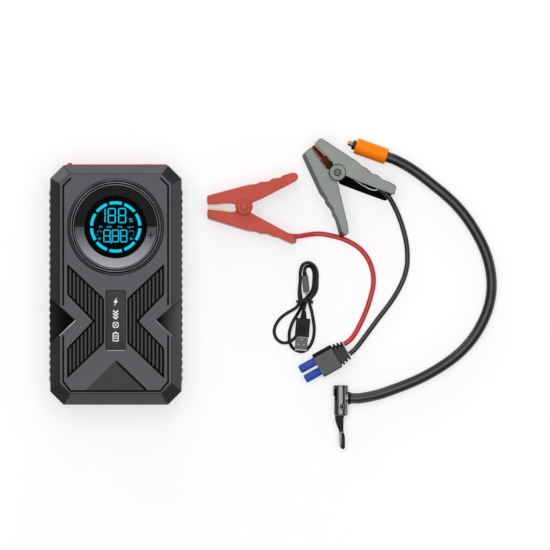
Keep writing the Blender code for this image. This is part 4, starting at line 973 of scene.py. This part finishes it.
def make_usb_ports():
    """The USB sockets' metal shells and contact tongues."""
    shell = port_block("usb_a_box", (-15.75, 29.45, -1.25, 36.55), 90.0, 103.5, "steel", 0.8)
    # The sockets' insides are cut with the near-black finish: painted shade.
    combine(shell, [port_block("usb_a_room", (-14.85, 30.4, -2.15, 35.6), 93, 110, "groove", 0.5)])
    pieces = [shell, port_block("usb_a_tongue", (-13.9, 33.2, -3.1, 35.0), 93.0, 102.6, "nylon")]
    for x in (-12.1, -9.7, -7.3, -4.9):
        pieces.append(port_block("usb_a_contact", (x - 0.6, 33.1, x + 0.6, 33.4), 95, 102.0, "brass"))
    on_unit(merge("usb_a_port_shell", pieces), "steel", "usb_a_socket")
    shell = port_block("usb_c_box", (3.8, 31.2, 13.2, 34.8), 94.0, 103.5, "steel", 1.7)
    combine(shell, [port_block("usb_c_room", (4.3, 31.7, 12.7, 34.3), 96.5, 110, "groove", 1.2)])
    tongue = port_block("usb_c_tongue", (5.5, 32.7, 11.5, 33.3), 96.5, 102.4, "dark", 0.2)
    on_unit(merge("usb_c_port_shell", [shell, tongue]), "steel", "usb_c_socket")


def make_socket():
    """The jumper socket: a blue block with two bores, and a sprung sleeve in each."""
    centres = [(SOCKET[0] + side * PRONG_OFFSET, SOCKET[1]) for side in (-1, 1)]
    pieces = [port_block("socket_block", (15.3, 16.3, 40.7, 31.7), 86.0, 102.9, "blue", 1.2)]
    bevel(pieces[0], 0.4, 2)
    # The bores are cut with the near-black finish: painted shade inside them.
    combine(pieces[0], [rod(f"socket_bore_{index}", 4.0, 89.0, 110.0, "groove", port_place(centre), "Y")
                        for index, centre in enumerate(centres)])
    sleeve = [(3.0, 89.2), (3.9, 89.2), (3.9, 100.5), (3.5, 101.2), (3.0, 100.9)]
    pieces += [turned("contact", sleeve, "brass", port_place(centre), "Y") for centre in centres]
    on_unit(merge("jumper_socket", pieces), "plug_blue", "ec5_socket")


def make_outlet_and_torch():
    threads = [(3.2, 96.4), (4.6, 96.4), (4.6, 101.4), (4.3, 101.6), (4.3, 101.9), (4.6, 102.1), (4.6, 103.9),
               (4.3, 104.4), (3.9, 104.6), (3.5, 104.6), (3.2, 104.2)]
    outlet = turned("outlet_fitting", threads, "brass", port_place(OUTLET), "Y")
    on_unit(outlet, "brass", "air_outlet")
    torch = port_place(TORCH)
    cup = [(0, 90.0), (4.2, 90.0), (6.0, 91.9), (7.4, 94.5), (8.5, 97.8), (9.2, 101.4), (8.5, 101.4),
           (7.7, 98.0), (6.6, 95.2), (5.2, 92.8), (3.4, 91.4), (0, 91.4)]
    chip = [(0, 91.3), (1.9, 91.3), (1.9, 92.0), (1.3, 92.5), (0, 92.7)]
    bowl = [turned("torch_cup", cup, "chrome", torch, "Y"),
            turned("torch_chip", chip, "nylon", torch, "Y", 24)]
    on_unit(merge("torch_bowl", bowl), "chrome", "torch_reflector")
    dome = [(0, 101.9), (9.6, 101.9), (9.6, 103.4), (9.2, 103.9), (8.0, 104.2), (6.0, 104.5), (3.0, 104.75),
            (0, 104.8)]
    on_unit(turned("torch_window", dome, "lens", torch, "Y"), "clear_lens", "torch_lens")


def finish_inner_parts():
    """Hidden parts keep their shapes and take procedural finishes."""
    for finish, names in {
        "board": ["display_module", "main_board"], "foil": [f"battery_cell_{index}" for index in (1, 2, 3)],
        "steel": ["motor", "pinion"] + [f"case_screw_{index}" for index in (1, 2, 3, 4)],
        "nylon": ["crank_gear"], "casting": ["pump_body", "piston"],
    }.items():
        for name in names:
            NODES[name].data.materials.clear()
            NODES[name].data.materials.append(FINISH[finish])


# ---- Jumper lead ----

# Outlines of a clamp about its rivet, its jaws to the left. The outer half's handle bends up and the inner
# half's down, and each has waves for the fingers.
WAVE_OUTER = [(5.2, 19.6), (10.4, 19.7), (13.9, 21.7), (21.7, 22.1), (24.3, 24.7), (31.3, 25.2), (33.9, 27.4)]
WAVE_INNER = [(33.9, -29.1), (28.7, -26.7), (25.2, -26.3), (20.9, -24.0), (13.0, -23.4), (10.4, -21.8),
              (3.5, -21.3)]
OUTER_ENDS = {
    "red": [(42.6, 30.0), (45.8, 29.0), (47.4, 25.7), (45.2, 22.2)],
    "black": [(43.2, 30.7), (47.4, 23.9), (46.3, 22.8)],
}
INNER_END = [(40.0, -23.9), (46.1, -28.4), (45.0, -31.8), (41.8, -32.6)]
JAW_EDGES = {"outer": (0.1, 0.8, 2.2, 3.9), "inner": (-0.8, -2.0, -4.2, -6.4)}
JAW_FLOOR = [(-31.6, -4.0), (-6.2, -5.0), (-6.2, 3.2), (-12.0, 2.9), (-31.6, 1.7)]
# A near-black sheet on the floor between the black clamp's handles, where shade falls: painted shade.
SHADE_SHEET = [(4.2, 2.6), (6.2, -4.9), (8.9, -5.1), (27.0, 4.2), (46.2, 14.4), (47.2, 20.0), (44.5, 24.0),
               (15.5, 8.6)]

# How far each half's side is drawn in at its top and spread at its foot, and the edges between which it leans
LEAN = {
    "red": {"outer": (0.5, 0.0), "inner": (0.8, 0.6)},
    "black": {"outer": (0.5, 0.0), "inner": (0.5, 3.0)},
}
LEAN_EDGES = {
    "outer": ([(-33.0, 1.7), (-11.3, 3.0), (-6.0, 7.4), (6.0, 7.4), (48.0, 24.5)],
              [(-33.0, 10.0), (48.0, 31.0)]),
    "inner": ([(-33.0, -2.4), (-9.6, -5.2), (-4.0, -7.4), (4.0, -7.4), (47.0, -28.4)],
              [(-33.0, -10.3), (47.0, -34.0)]),
}


def outer_outline(word):
    """The wider half: jaw to the left, finger waves along the top, around the hub and back."""
    back = [(15.7, 6.9)] + arc((0, 0), HUB_RADIUS, 26, -190, 12)
    return [(-32.2, 1.7), (-32.2, 9.4), (-30.9, 10.0)] + WAVE_OUTER + OUTER_ENDS[word] + back + [(-11.3, 3.0)]


def inner_outline():
    """The narrower half, which nests between the wider half's cheeks."""
    back = arc((0, 0), HUB_RADIUS, 205, -44, 12)
    return [(-32.0, -10.0), (-32.0, -2.4), (-9.6, -5.2)] + back + INNER_END + WAVE_INNER + [(-30.5, -10.9)]


def level(edge, x):
    """The height y of a chain of points at a place x."""
    for (x_a, y_a), (x_b, y_b) in zip(edge, edge[1:]):
        if x <= x_b:
            return y_a + (y_b - y_a) * (x - x_a) / (x_b - x_a)
    return edge[-1][1]


def leaning(half, top_in, foot_out):
    """How a clamp half's outer side leans beyond its upright hub: its top drawn in and its foot spread."""
    near, far = LEAN_EDGES[half]

    def lean(outline, share):
        moved = []
        for x, y in outline:
            inner, outer = level(near, x), level(far, x)
            reach = min(1.0, max(0.0, (inner - y) / (inner - outer)))
            drawn = top_in * share - foot_out * (1.0 - share)
            moved.append((x, y + math.copysign(1.0, inner - outer) * drawn * reach))
        return moved
    return lean


def clamp_half(name, outline, low, high, away, paint, where, lean):
    """A rounded pressed-steel channel: two cheeks, and a web on the side away from the other half."""
    side = f"{paint}_side"
    outline = anticlockwise(rounded(outline, 2.2, 3))
    half = soft_prism(name, outline, low, high, 0.9, paint, where, lean)
    half.data.materials.append(FINISH[side])
    # Faces that are not turned up, and the channel's inside, take the darker side copy of the paint: painted
    # shade.
    for polygon in half.data.polygons:
        polygon.material_index = 0 if abs(polygon.normal.z) > 0.6 else 1
    floor, ceiling = low + CLAMP_SHEET, high - CLAMP_SHEET
    rings = []
    for height in (floor, ceiling):
        leant = lean(outline, (height - low) / (high - low))
        rings.append([(1.03 * x, y - 1.8 * away, height) for x, y in leant])
    combine(half, [loft("channel", rings, side, where),
                   rod("hub_room", HUB_RADIUS + 0.6, floor, ceiling, side, where),
                   rod("bore", RIVET_RADIUS + 0.3, -5, CLAMP_WIDTH + 5, side, where)])
    return half


def jaw_plate(name, edges, finish, where):
    """A copper strip folded inside one jaw: pointed teeth along its front part, and a plain heel."""
    tip, last, heel, back = edges
    tip_x, last_x, heel_x, teeth = -31.5, -18.0, -9.5, 9
    inward = math.copysign(1.5, back - tip)
    outline = [(heel_x, back), (tip_x, back)]
    for tooth in range(teeth):
        for part, depth in ((0.0, 1.0), (0.45, 0.0), (0.9, 1.0)):
            share = (tooth + part) / teeth
            outline.append((tip_x + share * (last_x - tip_x), tip + share * (last - tip) + depth * inward))
    outline += [(last_x + 1.0, last + inward), (heel_x, heel)]
    low, high = 4.4, CLAMP_WIDTH - 4.4
    plate = prism(name, outline, low, high, finish, where)
    bevel(plate, 0.12, 1, clamp=False)
    return plate


def torsion_spring(name, where, shows_leg):
    """A wound coil round the rivet, with a leg along each handle; one leg may hook out past its cheek."""
    turns, low, high, radius, gauge = 6, 6.6, 17.4, 4.3, 1.5
    steps = turns * 24
    start, sweep = math.radians(-55.0), turns * 2 * math.pi + math.radians(90.0)
    points = [(14.0, -12.2, 7.4), (9.0, -9.0, 7.1)]
    for step in range(steps + 1):
        angle = start + sweep * step / steps
        points.append((radius * math.cos(angle), radius * math.sin(angle), low + (high - low) * step / steps))
    if shows_leg:
        points += [(6.5, 6.2, 17.2), (12.0, 6.6, 16.6), (19.0, 8.0, 15.5), (25.0, 9.8, 14.6),
                   (29.5, 11.6, 14.0), (33.0, 14.0, 14.0), (34.2, 15.8, 14.2), (33.4, 16.8, 14.4)]
    else:
        points += [(8.2, 7.9, 16.9), (11.6, 9.6, 16.6)]
    return wire(name, smooth_route([where @ Vector(point) for point in points], 0.8), gauge, "wire")


def make_hub_rings(word, where, paint):
    """Two pressed rings round the rivet, and a dark step where the hub stands proud of its cheek, coloured
    with the darker side copy of the paint as a painted shadow line.
    """
    foot, cheek = 23.9, CLAMP_WIDTH
    rings = []
    for radius, rise in ((6.0, 0.24), (4.3, 0.16)):
        profile = [(radius - 0.7, foot), (radius + 0.7, foot), (radius + 0.55, cheek + rise * 0.6),
                   (radius, cheek + rise), (radius - 0.55, cheek + rise * 0.6)]
        rings.append(turned("ring", profile, paint, where))
    step = [(6.85, foot), (7.55, foot), (7.5, 24.06), (7.2, 24.1), (6.9, 24.06)]
    rings.append(turned("ring_step", step, f"{paint}_side", where))
    return merge(f"{word}_hub_rings", rings)


def make_clamp(word, where, cable_half):
    """One clamp about its rivet. The cable's half belongs to the lead and the other half turns."""
    paint = f"clamp_{word}"
    halves = {
        "outer": (outer_outline(word), 0.0, CLAMP_WIDTH, 1),
        "inner": (inner_outline(), CLAMP_NEST, CLAMP_WIDTH - CLAMP_NEST, -1),
    }
    for half, shape in halves.items():
        state = "fixed" if half == cable_half else "moving"
        body = "jumper_lead" if state == "fixed" else f"{word}_clamp_arm"
        lean = leaning(half, *LEAN[word][half])
        shell = clamp_half(f"{word}_{half}_shell", *shape, paint, where, lean)
        register(weigh(shell), body, paint, f"{word}_{state}_handle")
        metal = "copper_mid" if (word, half) == ("black", "inner") else "copper"
        plate = jaw_plate(f"{word}_{half}_teeth", JAW_EDGES[half], metal, where)
        register(plate, body, "copper", f"{word}_{state}_jaw")
        if half == "outer":
            register(make_hub_rings(word, where, paint), body, paint)
    if word == "black":
        # A near-black sheet between the handles: painted shade.
        cheek = rounded(SHADE_SHEET, 1.6, 3)
        cheek = soft_prism("black_clamp_shade_sheet", cheek, 0.05, 1.55, 0.5, "groove", where)
        register(cheek, "jumper_lead", paint)
        jaw_floor = soft_prism("black_jaw_floor", JAW_FLOOR, 2.6, 4.2, 0.3, "copper_dark", where)
        register(jaw_floor, "black_clamp_arm", "copper")
    head = [(0, 0.3), (RIVET_RADIUS, 0.3), (RIVET_RADIUS, 24.2), (3.2, 24.2), (3.2, 24.6), (2.9, 25.0),
            (2.3, 25.25), (1.5, 25.3), (0.9, 25.15), (0, 25.1)]
    rivet = turned(f"{word}_rivet_head", head, "clamp_red" if word == "red" else "rivet", where)
    register(rivet, "jumper_lead", "steel", f"{word}_rivet")
    spring = torsion_spring(f"{word}_torsion_spring", where, word == "black")
    register(spring, "jumper_lead", "steel", f"{word}_spring")


def box_rings(sections, low, high, corner):
    """Rings across the plug, one for each (x, half width)."""
    return [[(x, y, z) for y, z in rounded(rectangle(-half, low, half, high), corner)]
            for x, half in sections]


def make_plug():
    """The plug's boot, ribbed where the cables enter, and the blue body with its two round prongs."""
    middle, top_inset = 6.5, 2.4
    ribs = [(0.0, 8.2), (0.5, 8.8), (1.8, 8.9), (2.1, 7.0), (3.1, 7.1), (3.4, 9.3), (5.1, 9.6), (5.4, 7.7),
            (6.4, 7.9), (6.7, 10.1), (8.4, 10.4), (8.7, 8.5), (9.7, 8.7), (10.0, 10.8), (11.0, 11.1)]
    shell = [(10.6, 10.9), (11.0, 11.2), (27.9, 11.2), (28.6, 10.8)]
    pieces = []
    for name, sections, finish in (("boot_ribs", ribs, "boot_rib"), ("boot", shell, "boot")):
        rings = []
        for x, half in sections:
            depth = middle * min(1.0, 0.76 + 0.24 * half / 11.0)
            low, high = middle - depth, middle + depth
            corners = [(-half, low), (half, low), (half, high), (-half + top_inset, high)]
            rings.append([(x, y, z) for y, z in rounded(corners, 1.6)])
        pieces.append(loft(name, rings, finish, PLUG, 30.0))
    ribbed, boot = pieces
    combine(boot, [ribbed], "UNION")
    # Boot faces turned towards one side take the near-black finish: painted shade on that side.
    painted_shade_side = PLUG.to_3x3() @ Vector((0.0, -1.0, 0.3)).normalized()
    boot.data.materials.append(FINISH["groove"])
    for polygon in boot.data.polygons:
        if polygon.normal.dot(painted_shade_side) > 0.55:
            polygon.material_index = len(boot.data.materials) - 1
    combine(boot, [loft("boot_room", box_rings(((21.6, 9.1), (30.0, 9.1)), 2.3, 10.7, 1.0), "dark", PLUG)])
    register(weigh(boot), "jumper_lead", "black_rubber", "plug_boot")
    pieces = [loft("plug_block", box_rings(((21.9, 8.8), (28.8, 8.8)), 2.6, 10.4, 1.4), "blue", PLUG)]
    barrel = [(0, 25.0), (3.7, 25.0), (3.7, 30.0), (3.55, 30.3), (3.55, 30.8), (3.7, 31.1), (3.7, 42.6),
              (3.4, 43.5), (2.8, 43.9), (2.5, 43.4), (2.5, 32.0), (0, 32.0)]
    pin = [(0, 31.5), (1.9, 31.5), (1.9, 39.4), (1.2, 40.4), (0, 40.6)]
    for side in (-1, 1):
        axis = PLUG @ place(0, side * PRONG_OFFSET, middle)
        pieces += [turned("prong", barrel, "blue", axis, "X"), turned("pin", pin, "brass", axis, "X", 32)]
    register(merge("plug_body", pieces), "jumper_lead", "plug_blue", "plug_housing")


# ---- Air hose ----

def make_collar():
    """The orange sleeve with a lip at each end, the brass nipple with its seal, and the hose's ferrule."""
    length = 28.8
    sleeve = [(0, 12.0), (3.4, 12.0), (3.4, 0.6), (3.8, 0.1), (6.1, 0), (6.6, 0.25), (6.9, 0.8), (7.0, 1.6),
              (7.0, length - 1.6), (6.9, length - 0.8), (6.6, length - 0.25), (6.1, length), (0, length)]
    nipple = [(0, -7.2), (1.4, -7.2), (1.9, -6.8), (2.3, -6.4), (2.3, -6.0), (1.9, -5.7), (1.9, -5.3),
              (2.3, -5.0), (2.4, -4.4), (2.0, -4.1), (2.0, -3.7), (2.5, -3.4), (2.5, -2.2), (3.0, -1.7),
              (3.3, -1.2), (3.3, -0.3), (3.1, 0.4), (3.1, 11.6), (0, 11.6)]
    seal = [(2.6, -3.2), (3.6, -3.2), (4.2, -2.6), (4.4, -1.6), (4.2, -0.7), (3.6, -0.1), (2.6, -0.1)]
    neck = [(0, length - 2.0), (4.7, length - 2.0), (4.8, length + 0.4), (4.7, length + 1.2),
            (3.9, length + 1.4), (0, length + 1.4)]
    for name, profile, finish, steps, slot, nodes in (
        ("sleeve", sleeve, "orange", FINE_STEPS, "orange_plastic", ["hose_collar"]),
        ("nipple", nipple, "brass", 64, "brass", ["hose_nipple"]),
        ("nipple_seal", seal, "rubber", 64, "black_rubber", []),
        ("hose_neck", neck, "rubber", 64, "black_rubber", []),
    ):
        register(turned(name, profile, finish, COLLAR, "X", steps), "air_hose", slot, *nodes)


def make_chuck():
    """The tyre chuck: a fluted chrome body, its rubber seal, the ferrule on the hose and the lever's pin."""
    sections = [(0, -114.0), (5.3, -114.0), (6.0, -113.7), (6.45, -113.1), (6.6, -112.2), (6.6, -90.0),
                (6.35, -89.7), (6.35, -89.2), (6.6, -88.9), (6.6, -88.1), (6.4, -87.6), (5.9, -87.3),
                (0, -87.3)]
    body = turned("chuck_shell", sections, "chrome", CHUCK, "Y", 96)
    boss = [(0, 0), (5.2, 0), (5.2, 6.9), (4.9, 7.3), (4.5, 7.6), (0, 7.6)]
    combine(body, [turned("chuck_boss", boss, "chrome", CHUCK_HOSE, "X")], "UNION")
    tools = [block("flute", (-0.35, -111.5, 0.35, -90.8), 6.1, 8.0, "steel",
                   where=CHUCK @ Matrix.Rotation(math.radians(turn), 4, "Y"))
             for turn in (-66, -44, -22, 0, 135, 160, 185, 210, 235, 260)]
    # The side slot, mouth, lever slot and pin hole are cut with the near-black finish: painted shade inside
    # them.
    tools += [block("side_slot", (-5.4, -100.0, -3.4, -90.2), 2.0, 8.0, "groove", 0.6, CHUCK, steps=3),
              rod("mouth", 4.2, -95.4, -80, "groove", CHUCK, "Y"),
              block("lever_slot", (180, -120, 201.6, PIN_Y + 4.6), 2.9, 9.7, "groove"),
              block("lever_room", (180, PIN_Y + 4, PIN_X + 0.4, PIN_Y + 9.5), 2.9, 9.7, "groove"),
              block("resting_flat", (180, -120, 210, -80), -2.0, 0.05, "chrome"),
              rod("pin_hole", 2.6, -5, 20, "groove", CHUCK_PIN, steps=40)]
    combine(body, tools)
    register(weigh(body), "air_hose", "chrome", "chuck_body")
    seal = [(2.2, -94.9), (4.0, -94.9), (4.0, -88.6), (3.6, -88.0), (2.9, -88.0), (2.2, -88.8)]
    register(turned("mouth_seal", seal, "rubber", CHUCK, "Y"), "air_hose", "black_rubber")
    ferrule = [(4.65, 7.7), (5.25, 6.4), (5.45, 6.7), (5.45, 8.4), (5.25, 8.8), (4.65, 8.8)]
    register(turned("hose_ferrule", ferrule, "dark", CHUCK_HOSE, "X"), "air_hose", "black_rubber")
    pin = [(0, 0.6), (1.1, 0.6), (1.3, 0.9), (1.3, 9.6), (1.1, 9.9), (0.6, 10.0), (0, 9.9)]
    register(turned("lever_pin", pin, "groove", CHUCK_PIN, steps=40), "air_hose", "steel", "chuck_pin")


def make_chuck_lever():
    """The lever: a rubber-covered thumb piece with ridges, a waist and a bare metal edge."""
    thumb = [(2.2, -7.0), (0.9, -9.6), (0.8, -22.4), (2.1, -25.4), (2.2, -35.6), (0.9, -37.4), (-0.9, -36.6),
             (-2.7, -33.1), (-2.7, -21.8), (-4.8, -16.5), (-6.5, -11.3), (-6.5, -6.1)]
    outline = rounded(arc((0, 0), 4.2, 190, -20, 14) + thumb, 1.6, 4)
    lever = soft_prism("lever", outline, 3.3, 9.3, 0.8, "dark", CHUCK_PIN)
    combine(lever, [rod("lever_bore", 1.6, 0, 20, "dark", CHUCK_PIN, steps=40)])
    pieces = [lever]
    blade = [(-2.95, -21.8), (-0.9, -23.4), (-0.9, -34.6), (-2.8, -32.9)]
    for outline, corner, low, radius, finish in (
        (blade, 0.5, 5.0, 0.3, "trim"), (rectangle(-2.7, -22.6, 1.3, -21.8), 0.3, 4.0, 0.2, "trim"),
        *((rectangle(-4.0 + 0.4 * index, y - 0.45, 0.2, y + 0.45), 0.3, 9.0, 0.2, "dark")
          for index, y in enumerate((-12.0, -14.2, -16.4, -18.6))),
    ):
        pieces.append(soft_prism("part", rounded(outline, corner, 3), low, 9.65, radius, finish, CHUCK_PIN))
    register(weigh(merge("thumb_lever", pieces)), "chuck_lever", "black_rubber", "chuck_lever")


# ---- Charging lead ----

def make_usb_a_plug():
    """The plug's moulded body with grip lines and a ringed strain relief, and its pressed metal shell."""
    body = block("usb_a_moulding", (-6.2, -3.7, 6.2, 3.7), -16.3, 0.0, "dark", 1.6, USB_A, "Y", 4)
    bevel(body, 0.5, 3)
    # The grip lines are cut with the near-black finish: painted shade inside them.
    combine(body, [block("grip_line", (-3.6, y, 3.6, y + 0.6), 3.45, 5.0, "groove", 0.25, USB_A, steps=3)
                   for y in (-12.4, -10.6, -8.8)])
    rings = [(0, -2.0), (2.9, -2.0), (2.9, 0.5), (2.5, 0.8), (2.5, 1.3), (2.75, 1.5), (2.7, 2.2), (2.3, 2.5),
             (2.25, 3.0), (2.5, 3.2), (2.4, 3.9), (2.05, 4.2), (2.0, 4.7), (2.2, 4.9), (2.1, 5.6),
             (1.85, 6.1), (1.8, 6.6), (0, 6.6)]
    grip = merge("usb_a_grip", [body, turned("usb_a_relief", rings, "dark", USB_A, "Y", 40)])
    register(weigh(grip), "charging_lead", "black_rubber", "usb_a_body")
    shell = block("usb_a_tube", (-5.4, -2.25, 5.4, 2.25), -28.2, -16.6, "plug_shell", 0.5, USB_A, "Y", 3)
    tools = [block("usb_a_mouth", (-5.0, -1.85, 5.0, 1.85), -40.0, -18.5, "groove", 0.3, USB_A, "Y", 3)]
    for x in (-2.4, 2.4):
        # The lower windows take the near-black finish: painted shade.
        for low, finish in ((1.6, "insert"), (-3.6, "groove")):
            tools.append(block("window", (x - 1.0, -23.6, x + 1.0, -22.2), low, low + 2, finish, where=USB_A))
    tools.append(block("window_mid", (-0.9, -19.4, 0.9, -18.2), 1.6, 3.6, "insert", where=USB_A))
    combine(shell, tools)
    tongue = block("usb_a_insert", (-4.8, -1.7, 4.8, 0.2), -27.4, -18.6, "insert", 0.0, USB_A, "Y")
    # A thin bright strip along the top of the shell's front edge: a painted highlight.
    lip = block("usb_a_lip", (-5.0, -28.1, 5.0, -27.3), 2.15, 2.32, "lip", 0.2, USB_A, steps=3)
    register(merge("usb_a_metal", [shell, tongue, lip]), "charging_lead", "steel", "usb_a_shell")


def make_usb_c_plug():
    """The slim plug on its edge: a rounded grey moulding, its dark strain relief and its oval metal tip."""
    body = block("usb_c_moulding", (-2.8, -4.6, 2.8, 4.6), -14.4, 0.0, "grey", 1.9, USB_C, "Y")
    bevel(body, 0.5, 3)
    tip = block("usb_c_tip", (-1.25, -4.1, 1.25, 4.1), -16.6, -13.5, "steel", 1.2, USB_C, "Y")
    relief = [(0, -2.0), (2.1, -2.0), (2.1, 0.3), (1.9, 0.5), (1.9, 0.9), (2.0, 1.1), (1.95, 1.6),
              (1.75, 1.8), (1.7, 3.6), (0, 3.6)]
    pieces = [body, tip, turned("usb_c_relief", relief, "dark", USB_C, "Y", 40)]
    register(weigh(merge("usb_c_grip", pieces)), "charging_lead", "grey_plastic", "usb_c_plug")


def make_cable_tie():
    """A plastic-coated wire wound twice round the gathered strands and twisted together at one side."""
    section = [(-6.9, 1.4), (-5.6, 0.75), (0, 0.62), (5.6, 0.75), (6.9, 1.4), (7.15, 3.0), (6.9, 4.9),
               (4.6, 8.6), (3.0, 8.95), (0, 9.0), (-3.0, 8.95), (-4.6, 8.6), (-6.9, 4.9), (-7.15, 3.0)]
    loops = [TIE @ Vector((x, -0.7 + 0.75 * (turn + index / len(section)), z))
             for turn in range(2) for index, (x, z) in enumerate(section)]
    band = wire("tie_band", smooth_route(loops, 0.6), 0.95, "lead")
    register(band, "charging_lead", "black_rubber", "cable_tie")
    tail = [TIE @ Vector((6.4 + 0.9 * math.sin(turn * 0.9), 0.3 + 0.7 * math.cos(turn * 1.9) - 0.28 * turn,
                          5.4 + 0.7 * math.sin(turn * 1.9))) for turn in range(9)]
    register(wire("tie_twist", smooth_route(tail, 0.5), 0.9, "lead"), "charging_lead", "black_rubber")


# ---- The whole scene ----

make_camera()
make_studio()
make_floor()
make_top_cover()
make_scoop_lips()
make_ribs()
make_lower_case()
make_side_grips()
make_dial()
make_display()
make_label()
make_port_panel()
make_port_flap()
make_button()
make_usb_ports()
make_socket()
make_outlet_and_torch()
finish_inner_parts()
make_clamp("red", RED_CLAMP, "inner")
make_clamp("black", BLACK_CLAMP, "outer")
make_plug()
make_collar()
make_chuck()
make_chuck_lever()
make_usb_a_plug()
make_usb_c_plug()
make_cable_tie()
make_cords()
